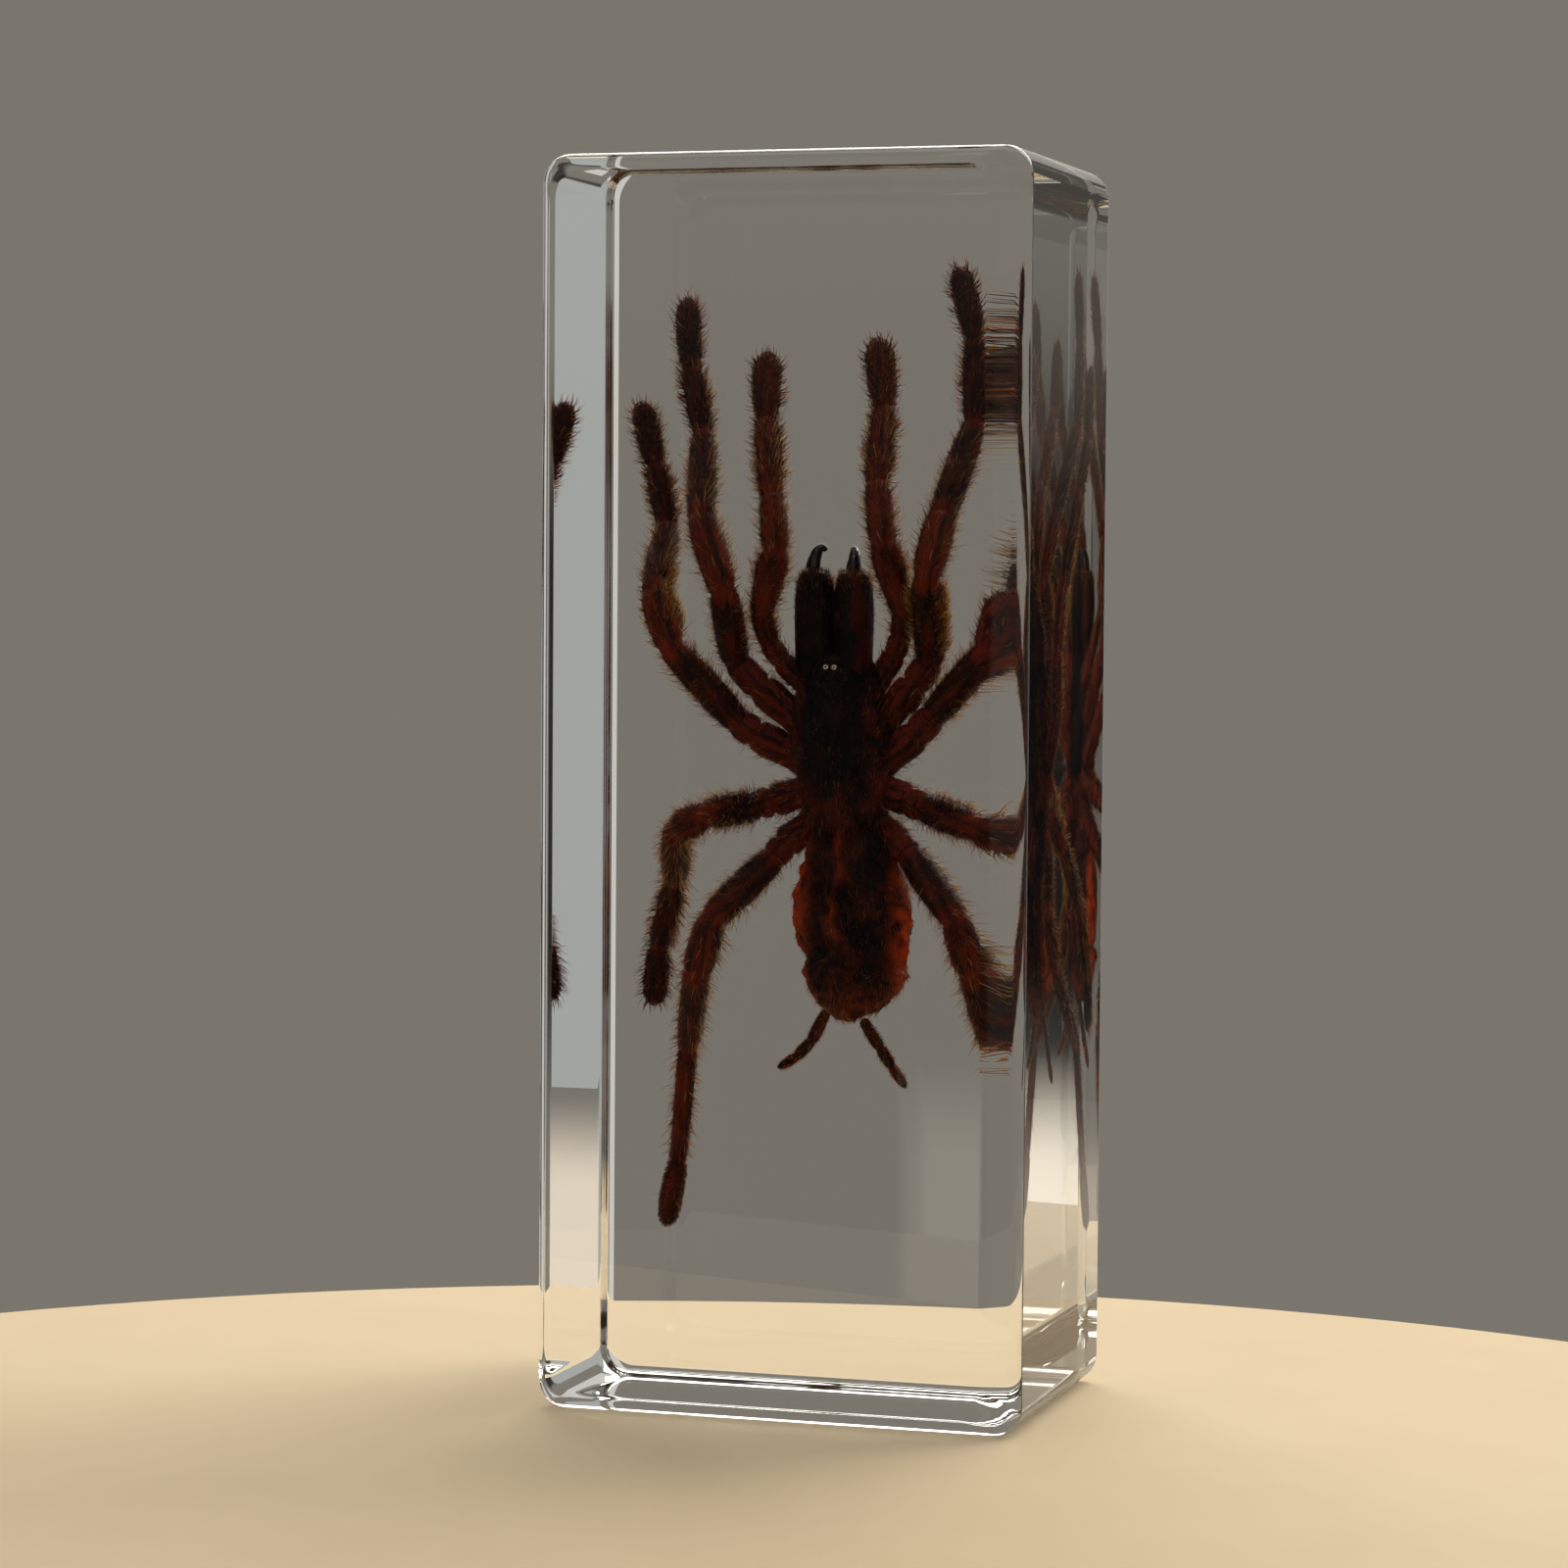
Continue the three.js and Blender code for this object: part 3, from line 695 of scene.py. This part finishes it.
class Bristles:
    """Bristles for one piece, kept as arrays until they are made one joined mesh."""

    def __init__(self, piece, seed):
        self.shape = shape_of(piece)
        self.draw = np.random.default_rng(seed)
        self.batches = []

    def spots(self, count, likely):
        """Random places on the piece, more of them where the likelihood of their corners is higher."""
        corners, normals, triangles = self.shape
        first, second, third = (corners[triangles[:, k]] for k in range(3))
        weight = np.linalg.norm(np.cross(second - first, third - first), axis=1)
        weight = weight * likely[triangles].mean(1)
        chosen = triangles[self.draw.choice(len(triangles), count, p=weight / weight.sum())]
        shares = self.draw.dirichlet((1, 1, 1), count)
        places = (corners[chosen] * shares[:, :, None]).sum(1)
        outward = (normals[chosen] * shares[:, :, None]).sum(1)
        outward /= np.linalg.norm(outward, axis=1, keepdims=True)
        return places, outward, chosen, shares

    def add(self, hair, likely, lay):
        """Hairs of one kind, which stand off the piece and slant along its lay."""
        count = hair.count
        places, outward, chosen, shares = self.spots(count, likely)
        along = (lay[chosen] * shares[:, :, None]).sum(1)
        along -= outward * (along * outward).sum(1, keepdims=True)
        along /= np.maximum(np.linalg.norm(along, axis=1, keepdims=True), LEAST_LENGTH)
        wander = self.draw.normal(0, HAIR_WANDER, (count, 3))
        lean = np.clip(self.draw.normal(hair.slant, SLANT_SPREAD, count), *SLANT_LIMITS)[:, None]
        upright = outward + wander
        upright /= np.linalg.norm(upright, axis=1, keepdims=True)
        start = upright * np.cos(ROOT_SLANT * lean) + along * np.sin(ROOT_SLANT * lean)
        end = upright * np.cos(TIP_SLANT * lean) + along * np.sin(TIP_SLANT * lean)
        lengths = hair.length * MM * self.draw.uniform(*HAIR_LENGTHS, count)[:, None]
        middle = places + start * 0.5 * lengths
        tip = middle + end * 0.5 * lengths
        root = places - outward * HAIR_DEPTH
        tones = np.clip(self.draw.normal(hair.tone, TONE_SPREAD, count), 0, 1)
        self.batches.append((root, middle, tip, np.full(count, hair.width * MM), tones))

    def make(self, name):
        """One mesh of three-sided tapering bristles, marked with how near the tip and how pale each is."""
        root, middle, tip, width, tones = (np.concatenate(part) for part in zip(*self.batches))
        count = len(root)
        heading = tip - root
        heading /= np.linalg.norm(heading, axis=1, keepdims=True)
        side = np.cross(heading, np.roll(heading, 1, axis=1) + 0.31)
        side /= np.linalg.norm(side, axis=1, keepdims=True)
        other = np.cross(heading, side)
        corners = np.empty((count, 7, 3))
        for k in range(3):
            angle = 2 * math.pi * k / 3
            ring = side * math.cos(angle) + other * math.sin(angle)
            corners[:, k] = root + ring * (ROOT_GIRTH * width)[:, None]
            corners[:, 3 + k] = middle + ring * (MIDDLE_GIRTH * width)[:, None]
        corners[:, 6] = tip
        indices = (np.arange(count)[:, None, None] * 7 + HAIR_FACES).reshape(-1, 3)
        mesh = bpy.data.meshes.new(name)
        mesh.from_pydata(corners.reshape(-1, 3), [], indices)
        piece = bpy.data.objects.new(name, mesh)
        bpy.context.collection.objects.link(piece)
        paint(piece, "tip", np.tile([0, 0, 0, 0.5, 0.5, 0.5, 1.0], count))
        paint(piece, "tone", np.repeat(tones, 7))
        shade_round(piece)
        return piece


# Random draws: each piece has a seed of its own, and of several alike each next one has the next number
SHIELD_SEED = 21
ABDOMEN_SEED = 22
FIRST_JAW_SEED = 31
FIRST_LIMB_SEED = 41
FIRST_SPINNERET_SEED = 61
# Feet without a fringe
PLAIN_FEET = ["leg_4_left", "leg_4_right"]
# Limbs with a thick patch of hair on the right side, from one place along the segments to another
HAIR_PATCHES = {"leg_1_right": (2.05, 2.9), "leg_2_left": (3.2, 4.4)}


def limb_hairs(node, limb, seed):
    """Hairs of a leg or feeler: coat, fringe, long bristles, hip tufts, and the foot's brush and fringe."""
    bristles = Bristles(limb, seed)
    segment, _, headings, outward = measure_along(node, bristles.shape.corners)
    outer = smooth_step(1.6, 2.4, segment)
    foot = smooth_step(5.9, 6.1, segment)
    hip = 1 - outer
    lanky = outer * (1 - foot)
    facing = -outward[:, 1] / np.maximum(np.linalg.norm(outward, axis=1), LEAST_LENGTH)
    fringe = lanky * (1 - smooth_step(0.35, 0.75, facing))
    brush = foot + 0.25 * smooth_step(5.3, 5.9, segment)
    bristles.add(LIMB_COAT, 0.35 + 0.65 * outer, headings)
    bristles.add(LIMB_FRINGE, 0.05 + fringe, headings)
    bristles.add(LIMB_BRISTLES, lanky, headings)
    bristles.add(HIP_TUFTS, hip, headings)
    bristles.add(FOOT_BRUSH, brush, headings)
    if node in HAIR_PATCHES:
        first, last = HAIR_PATCHES[node]
        patch = smooth_step(first, first + 0.2, segment) * (1 - smooth_step(last - 0.2, last, segment))
        patch *= smooth_step(0.2, 0.9, outward[:, 0] / MM)
        bristles.add(THICK_PATCH, patch, headings)
    if node not in PLAIN_FEET:
        foot_fringe = smooth_step(4.9, 5.3, segment) * (1 - smooth_step(0.45, 0.85, facing))
        bristles.add(FOOT_FRINGE, foot_fringe, headings)
    return bristles.make(f"{node}_bristles")


def shield_hairs(shield):
    bristles = Bristles(shield, SHIELD_SEED)
    corners = bristles.shape.corners
    lay = np.tile([0.0, 0.0, 1.0], (len(corners), 1))
    across = np.abs(corners[:, 0] - shield_middle.x) / (shield_high.x - shield_middle.x)
    rim = smooth_step(0.55, 0.95, across)
    tail = 1 - smooth_step(-6.0, -3.0, (corners[:, 2] - shield_middle.z) / MM)
    bristles.add(SHIELD_COAT, np.ones(len(corners)), lay)
    bristles.add(SHIELD_RIM, 0.02 + rim, lay)
    bristles.add(SHIELD_TAIL, tail, -lay)
    return bristles.make("head_shield_bristles")


def abdomen_hairs(abdomen):
    bristles = Bristles(abdomen, ABDOMEN_SEED)
    corners = bristles.shape.corners
    lay = np.tile([0.0, 0.0, -1.0], (len(corners), 1))
    across = (corners[:, 0] - abdomen_middle.x) / MM
    along = (corners[:, 2] - abdomen_middle.z) / MM
    tail = 1 - smooth_step(-6.5, -3.5, along)
    fold = np.exp(-((along + 4.4) / 0.9) ** 2) * smooth_step(0.5, 2.5, across)
    bristles.add(ABDOMEN_COAT, np.ones(len(corners)), lay)
    bristles.add(ABDOMEN_BRISTLES, 0.2 + tail, lay)
    bristles.add(FOLD_HAIRS, fold, lay)
    return bristles.make("abdomen_bristles")


def jaw_hairs(node, jaw, seed):
    bristles = Bristles(jaw, seed)
    corners = bristles.shape.corners
    low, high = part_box(node)
    along = (corners[:, 2] - low.z) / (high.z - low.z)
    lay = np.tile([0.0, 0.0, 1.0], (len(corners), 1))
    brow = smooth_step(0.72, 0.9, along)
    # Painted glint: the brow hairs are made paler on the right jaw, where the light falls.
    brow_tone = JAW_BROW.tone + 0.3 * JAW_PAINTED_GLINT[node]
    bristles.add(JAW_COAT, 0.2 + smooth_step(0.1, 0.6, along), lay)
    bristles.add(JAW_BROW._replace(tone=brow_tone), brow, lay)
    return bristles.make(f"{node}_bristles")


def spinneret_hairs(node, spinneret, seed):
    bristles = Bristles(spinneret, seed)
    segment, _, headings, _ = measure_along(node, bristles.shape.corners)
    bristles.add(SPINNERET_COAT, np.ones(len(segment)), headings)
    return bristles.make(f"{node}_bristles")


# Materials

NOISE_ROUGHNESS = 0.6


class Nodes:
    """Short calls for the nodes of one tree."""

    def __init__(self, tree):
        self.tree = tree

    def link(self, source, target):
        self.tree.links.new(source, target)

    def node(self, kind, sockets=None, **settings):
        """A new node, whose sockets get plain values or links from other nodes' outputs."""
        made = self.tree.nodes.new(kind)
        for setting, value in settings.items():
            setattr(made, setting, value)
        for socket, value in (sockets or {}).items():
            if isinstance(value, bpy.types.NodeSocket):
                self.link(value, made.inputs[socket])
            else:
                made.inputs[socket].default_value = value
        return made

    def attribute(self, name, output="Fac"):
        return self.node("ShaderNodeAttribute", attribute_name=name).outputs[output]

    def object_place(self):
        return self.node("ShaderNodeTexCoord").outputs["Object"]

    def stretched(self, place, scale):
        return self.node("ShaderNodeMapping", {"Vector": place, "Scale": scale}).outputs["Vector"]

    def noise(self, place, scale, detail=4.0):
        sockets = {"Vector": place, "Scale": scale, "Detail": detail, "Roughness": NOISE_ROUGHNESS}
        return self.node("ShaderNodeTexNoise", sockets).outputs["Fac"]

    def math(self, operation, first, second=0.0):
        return self.node("ShaderNodeMath", {0: first, 1: second}, operation=operation).outputs["Value"]

    def spread(self, value, low, high, to_low=0.0, to_high=1.0):
        sockets = {"Value": value, "From Min": low, "From Max": high, "To Min": to_low, "To Max": to_high}
        return self.node("ShaderNodeMapRange", sockets, interpolation_type="SMOOTHSTEP").outputs["Result"]

    def blend(self, share, first, second):
        sockets = {"Factor": share, "A": first, "B": second}
        return self.node("ShaderNodeMix", sockets, data_type="RGBA").outputs["Result"]


class Finish(Nodes):
    """A material with one Principled shader, and the calls that feed it."""

    def __init__(self, name, **plain):
        self.material = bpy.data.materials.new(name)
        self.material.use_nodes = True
        super().__init__(self.material.node_tree)
        self.shader = self.tree.nodes["Principled BSDF"]
        for socket, value in plain.items():
            self.shader.inputs[socket.replace("_", " ")].default_value = value

    def wire(self, socket, source):
        """Links one of the shader's own sockets to another node's output."""
        self.link(source, self.shader.inputs[socket])

    def skin(self, group, place, patch_scale, grain_scale, dark, brown):
        """Dried skin's colour, patches and grain."""
        sockets = {"Place": place, "Patch Scale": patch_scale, "Grain Scale": grain_scale,
                   "Dark": dark, "Brown": brown}
        skin = self.node("ShaderNodeGroup", sockets, node_tree=group)
        return skin.outputs["Colour"], skin.outputs["Patches"], skin.outputs["Grain"]

    def bump(self, height, distance):
        bump = self.node("ShaderNodeBump", {"Height": height, "Distance": distance})
        self.wire("Normal", bump.outputs["Normal"])


def dried_skin_group():
    """Dried skin, for several finishes: dark and brown patches, and a fine grain that roughens them."""
    group = bpy.data.node_groups.new("dried_skin", "ShaderNodeTree")
    sockets = (("Place", "INPUT", "NodeSocketVector"), ("Patch Scale", "INPUT", "NodeSocketFloat"),
               ("Grain Scale", "INPUT", "NodeSocketFloat"), ("Dark", "INPUT", "NodeSocketColor"),
               ("Brown", "INPUT", "NodeSocketColor"), ("Colour", "OUTPUT", "NodeSocketColor"),
               ("Patches", "OUTPUT", "NodeSocketFloat"), ("Grain", "OUTPUT", "NodeSocketFloat"))
    for name, direction, kind in sockets:
        group.interface.new_socket(name, in_out=direction, socket_type=kind)
    given = group.nodes.new("NodeGroupInput").outputs
    result = group.nodes.new("NodeGroupOutput").inputs
    nodes = Nodes(group)
    patches = nodes.noise(given["Place"], given["Patch Scale"], 5.0)
    grain = nodes.noise(given["Place"], given["Grain Scale"])
    colour = nodes.blend(nodes.spread(patches, 0.4, 0.7), given["Dark"], given["Brown"])
    for name, value in (("Colour", colour), ("Patches", patches), ("Grain", grain)):
        nodes.link(value, result[name])
    return group


PALE_BRISTLE = (0.8, 0.46, 0.18, 1)
GOLD_BRISTLE = (0.42, 0.095, 0.018, 1)
DARK_BRISTLE = (0.014, 0.005, 0.003, 1)
BLOOD_SPREAD = (1.0, 0.22, 0.07)
HAIR_SPREAD = (1.0, 0.5, 0.2)


def resin_finish():
    finish = Finish("clear_resin", Base_Color=(1, 1, 1, 1), Roughness=0.0, IOR=1.5, Transmission_Weight=1.0)
    tint = finish.node("ShaderNodeVolumeAbsorption", {"Color": (0.86, 0.95, 0.95, 1), "Density": 3.0})
    finish.link(tint.outputs["Volume"], finish.tree.nodes["Material Output"].inputs["Volume"])
    return finish.material


def limb_finish(skin):
    """Dry leg shell: near black, with red-brown at hips, knees and joints and in streaks along the leg."""
    finish = Finish("leg_shell", Specular_IOR_Level=0.1, Subsurface_Weight=0.5,
                    Subsurface_Scale=0.9 * MM, Subsurface_Radius=BLOOD_SPREAD)
    place = finish.attribute("grain", "Vector")
    dark, brown = (0.016, 0.004, 0.0025, 1), (0.08, 0.011, 0.005, 1)
    colour, patches, grain = finish.skin(skin, place, 1.2, 7.0, dark, brown)
    ruddy = finish.math("MULTIPLY", finish.attribute("ruddy"), finish.spread(patches, 0.34, 0.62))
    ruddy = finish.math("MAXIMUM", ruddy, finish.spread(patches, 0.5, 0.78, 0.0, 0.5))
    finish.wire("Base Color", finish.blend(ruddy, colour, (0.22, 0.022, 0.007, 1)))
    finish.wire("Roughness", finish.spread(grain, 0.3, 0.7, 0.36, 0.6))
    finish.bump(grain, 0.06 * MM)
    return finish.material


def shield_finish(skin):
    """Head shield and jaws: near black, with fine lengthwise streaks and a red-brown cast where the margin
    mark lies: along the shield's sides and tail, and on the jaws' outer sides, where it is painted rim
    light, strongest on the right jaw.
    """
    finish = Finish("dark_shell", Specular_IOR_Level=0.08, Subsurface_Weight=0.1,
                    Subsurface_Scale=0.6 * MM, Subsurface_Radius=BLOOD_SPREAD)
    place = finish.object_place()
    dark, brown = (0.003, 0.002, 0.0015, 1), (0.018, 0.004, 0.003, 1)
    colour, patches, grain = finish.skin(skin, place, 420, 5200, dark, brown)
    streaks = finish.noise(finish.stretched(place, (3200, 3200, 420)), 1.0)
    streaked = finish.blend(finish.spread(streaks, 0.5, 0.75, 0.0, 0.7), colour, (0.008, 0.005, 0.003, 1))
    glow = finish.math("MULTIPLY", finish.attribute("margin"), finish.spread(patches, 0.35, 0.65))
    finish.wire("Base Color", finish.blend(glow, streaked, (0.1, 0.011, 0.006, 1)))
    finish.wire("Roughness", finish.spread(grain, 0.3, 0.7, 0.36, 0.6))
    finish.bump(streaks, 0.05 * MM)
    return finish.material


def abdomen_finish(skin):
    """Hind body skin: dark brown on the back; at its margins, and a little along the ridge and the tail, a
    bright orange is painted in as the glow of light shining through the thin skin, over its real subsurface
    translucency.
    """
    finish = Finish("abdomen_skin", Specular_IOR_Level=0.1, Subsurface_Weight=0.6,
                    Subsurface_Scale=1.3 * MM, Subsurface_Radius=BLOOD_SPREAD)
    place = finish.object_place()
    dark, brown = (0.007, 0.002, 0.0015, 1), (0.065, 0.01, 0.003, 1)
    colour, patches, grain = finish.skin(skin, place, 520, 2600, dark, brown)
    # The bright orange at the margins is painted glow of light through the skin.
    glow = finish.math("MULTIPLY", finish.attribute("margin"), finish.spread(patches, 0.3, 0.62))
    finish.wire("Base Color", finish.blend(glow, colour, (0.75, 0.085, 0.011, 1)))
    finish.wire("Roughness", finish.spread(grain, 0.3, 0.7, 0.4, 0.62))
    finish.bump(grain, 0.15 * MM)
    return finish.material


def fang_finish():
    finish = Finish("fang_black", Coat_Weight=0.3, Coat_Roughness=0.1, Specular_IOR_Level=0.3)
    place = finish.object_place()
    streaks = finish.noise(finish.stretched(place, (2500, 2500, 500)), 1.0, 3.0)
    black = finish.blend(streaks, (0.003, 0.004, 0.006, 1), (0.012, 0.011, 0.013, 1))
    finish.wire("Base Color", black)
    finish.wire("Roughness", finish.spread(streaks, 0.3, 0.7, 0.12, 0.24))
    return finish.material


def eye_finish():
    finish = Finish("eye", Coat_Weight=0.6, Coat_Roughness=0.03)
    lens = finish.attribute("lens")
    cloud = finish.noise(finish.object_place(), 9000, 2.0)
    rim = finish.blend(cloud, (0.72, 0.62, 0.5, 1), (0.85, 0.78, 0.66, 1))
    finish.wire("Base Color", finish.blend(lens, rim, (0.006, 0.005, 0.006, 1)))
    finish.wire("Roughness", finish.spread(lens, 0.0, 1.0, 0.4, 0.08))
    return finish.material


def bristle_finish():
    """Bristles: dark at the root, from near black to pale gold at the tip, and lit through from behind."""
    finish = Finish("bristle", Roughness=0.45, Specular_IOR_Level=0.2, Subsurface_Weight=0.7,
                    Subsurface_Scale=0.15 * MM, Subsurface_Radius=HAIR_SPREAD)
    tone = finish.attribute("tone")
    gold = finish.blend(finish.spread(tone, 0.1, 0.55), DARK_BRISTLE, GOLD_BRISTLE)
    pale = finish.blend(finish.spread(tone, 0.55, 0.9), gold, PALE_BRISTLE)
    tip = finish.spread(finish.attribute("tip"), 0.0, 0.8)
    root = finish.blend(0.5, DARK_BRISTLE, pale)
    finish.wire("Base Color", finish.blend(tip, root, pale))
    return finish.material


# Stage: floor, soft light and camera

ROOM_GREY = (0.195, 0.18, 0.155, 1)
CARD_BLACK = (0.01, 0.01, 0.01, 1)
CARD_FADES = (("X", 0.36), ("Y", 0.22))     # where a card starts to fade, as a share of its size
CARD_EDGE = 0.5
FLOOR_RADIUS = 0.13
FLOOR_AT = (0.01, -0.07, -0.05 * MM)
FLOOR_FRONT = Vector((19, -74, 0)) * MM


def make_floor():
    """A round floor, cut off just below the picture so that the block's front face doesn't mirror it."""
    deselect()
    bpy.ops.mesh.primitive_circle_add(vertices=128, radius=FLOOR_RADIUS, fill_type="NGON", location=FLOOR_AT)
    floor = bpy.context.active_object
    floor.name = "floor"
    bpy.ops.object.mode_set(mode="EDIT")
    bpy.ops.mesh.select_all(action="SELECT")
    heading = (-math.sin(CAMERA_TURN), math.cos(CAMERA_TURN), 0)
    bpy.ops.mesh.bisect(plane_co=FLOOR_FRONT, plane_no=heading, clear_inner=True)
    bpy.ops.object.mode_set(mode="OBJECT")
    finish = Finish("pale_floor", Roughness=0.75, Specular_IOR_Level=0.2)
    fleck = finish.noise(finish.object_place(), 60, 5.0)
    flecked = finish.blend(fleck, (0.72, 0.58, 0.38, 1), (0.79, 0.65, 0.44, 1))
    finish.wire("Base Color", flecked)
    floor.data.materials.append(finish.material)


def make_card(name, place, size, colour, surroundings):
    """An upright card outside the picture, for the block to mirror; it fades into what is round it."""
    deselect()
    bpy.ops.mesh.primitive_plane_add(size=1, location=place, rotation=(math.radians(90), 0, 0))
    card = bpy.context.active_object
    card.name = name
    card.scale = (*size, 1)
    card.visible_camera = False
    finish = Finish(name, Base_Color=(0, 0, 0, 1), Roughness=1.0, Specular_IOR_Level=0.0,
                    Emission_Strength=1.0)
    parts = finish.node("ShaderNodeSeparateXYZ", {"Vector": finish.object_place()})
    fades = []
    for axis, start in CARD_FADES:
        offset = finish.math("ABSOLUTE", parts.outputs[axis])
        fades.append(finish.spread(offset, start, CARD_EDGE))
    fade = finish.math("MAXIMUM", *fades)
    finish.wire("Emission Color", finish.blend(fade, colour, surroundings))
    card.data.materials.append(finish.material)


def make_world():
    world = bpy.data.worlds.new("grey_room")
    world.use_nodes = True
    background = world.node_tree.nodes["Background"]
    background.inputs["Color"].default_value = ROOM_GREY
    background.inputs["Strength"].default_value = 1.0
    bpy.context.scene.world = world


def make_light(name, place, target, size, power, colour):
    lamp = bpy.data.lights.new(name, "AREA")
    lamp.shape = "RECTANGLE"
    lamp.size, lamp.size_y = size
    lamp.energy = power
    lamp.color = colour
    light = bpy.data.objects.new(name, lamp)
    bpy.context.collection.objects.link(light)
    light.visible_camera = False
    light.location = place
    light.rotation_euler = (Vector(target) - Vector(place)).to_track_quat("-Z", "Y").to_euler()


def make_camera():
    forward = Vector((-math.sin(CAMERA_TURN) * math.cos(CAMERA_DIP),
                      math.cos(CAMERA_TURN) * math.cos(CAMERA_DIP), -math.sin(CAMERA_DIP)))
    right = forward.cross(UP).normalized()
    above = right.cross(forward)
    rolled_right = right * math.cos(CAMERA_ROLL) + above * math.sin(CAMERA_ROLL)
    rolled_above = above * math.cos(CAMERA_ROLL) - right * math.sin(CAMERA_ROLL)
    lens = bpy.data.cameras.new("camera")
    lens.lens = CAMERA_LENS
    lens.sensor_width = CAMERA_SENSOR
    lens.clip_start = 0.01
    camera = bpy.data.objects.new("camera", lens)
    bpy.context.collection.objects.link(camera)
    facing = Matrix((rolled_right, rolled_above, -forward)).transposed().to_4x4()
    camera.matrix_world = Matrix.Translation(CAMERA_AT) @ facing
    bpy.context.scene.camera = camera


# Making the object

def dress(piece, finish, slot, *nodes):
    """Gives a piece its finish, ties it to the body, and hides the solids that it stands for."""
    piece.data.materials.clear()
    piece.data.materials.append(finish)
    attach(piece, "root")
    if nodes:
        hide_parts(*nodes)


make_camera()
make_world()
make_floor()
make_card("side_card", (0.195, 0.85, 0.02), (0.15, 0.25), CARD_BLACK, ROOM_GREY)
make_card("front_card", (-0.64, -2.1, -0.14), (1.04, 1.0), CARD_BLACK, ROOM_GREY)
make_card("front_glow", (-0.51, -2.0, -0.32), (0.09, 0.26), (1.15, 1.03, 0.83, 1), CARD_BLACK)
make_card("back_glow", (0.095, 0.3, -0.04), (0.06, 0.06), (0.8, 0.69, 0.55, 1), ROOM_GREY)
make_light("back_window", (0.42, 0.7, 0.8), (0, 0, 0.05), (0.8, 0.8), 9, (1.0, 0.95, 0.86))
make_light("rear_window", (-0.3, 0.8, 0.75), (0, 0, 0.05), (0.8, 0.6), 6, (1.0, 0.96, 0.9))
make_light("top_window", (0.1, 0.15, 1.0), (0, 0, 0), (0.8, 0.8), 1.5, (1.0, 0.97, 0.92))
make_light("rear_strip", (-0.05, 0.85, 0.2), (-0.05, 0, 0.2), (0.26, 1.0), 0.34, (1.0, 0.98, 0.93))
make_light("side_panel", (0.57, 0.85, 0.3), (0.57, 0, 0.3), (0.6, 1.3), 0.55, (0.86, 0.97, 1.0))
make_light("front_fill", (-0.5, -0.7, 0.7), (0, 0, 0.06), (0.8, 0.8), 0.7, (1.0, 0.97, 0.93))
bpy.context.scene.view_settings.view_transform = "Standard"
bpy.context.scene.cycles.max_bounces = 8
bpy.context.scene.cycles.diffuse_bounces = 2

skin = dried_skin_group()
resin = resin_finish()
leg_shell = limb_finish(skin)
dark_shell = shield_finish(skin)
abdomen_skin = abdomen_finish(skin)
fang_black = fang_finish()
eye_gloss = eye_finish()
bristle = bristle_finish()

dress(model_block(), resin, "clear_resin", "resin_front", "resin_back")

shield = model_shield()
dress(shield, dark_shell, "dark_shell", "head_shield")
dress(shield_hairs(shield), bristle, "dark_shell")
for name, side in (("eye_left", -1), ("eye_right", 1)):
    dress(model_eye(name, side * EYE_APART / 2, shield), eye_gloss, "dark_shell")

abdomen = model_abdomen()
dress(abdomen, abdomen_skin, "abdomen_skin", "abdomen")
dress(abdomen_hairs(abdomen), bristle, "abdomen_skin")

for seed, node in enumerate(JAWS, FIRST_JAW_SEED):
    jaw = model_jaw(node)
    dress(jaw, dark_shell, "dark_shell", node)
    dress(jaw_hairs(node, jaw, seed), bristle, "dark_shell")

for node in FANGS:
    fang = model_limb(node, FANG_ROOT)
    dress(fang, fang_black, "fang", node)

for seed, node in enumerate(LEGS + PALPS, FIRST_LIMB_SEED):
    limb = model_limb(node, LEG_ROOT, LEG_WAIST, JOINT_RIM)
    ruffle(limb, 0.9 * MM, 0.14 * MM)
    paint_limb(node, limb, RUDDINESS.get(node, leg_ruddiness))
    dress(limb, leg_shell, "leg_shell", node)
    dress(limb_hairs(node, limb, seed), bristle, "leg_shell")

for seed, node in enumerate(SPINNERETS, FIRST_SPINNERET_SEED):
    spinneret = model_limb(node, SPINNERET_ROOT, SPINNERET_WAIST, JOINT_RIM)
    paint_limb(node, spinneret, RUDDINESS[node])
    dress(spinneret, leg_shell, "leg_shell", node)
    dress(spinneret_hairs(node, spinneret, seed), bristle, "leg_shell")
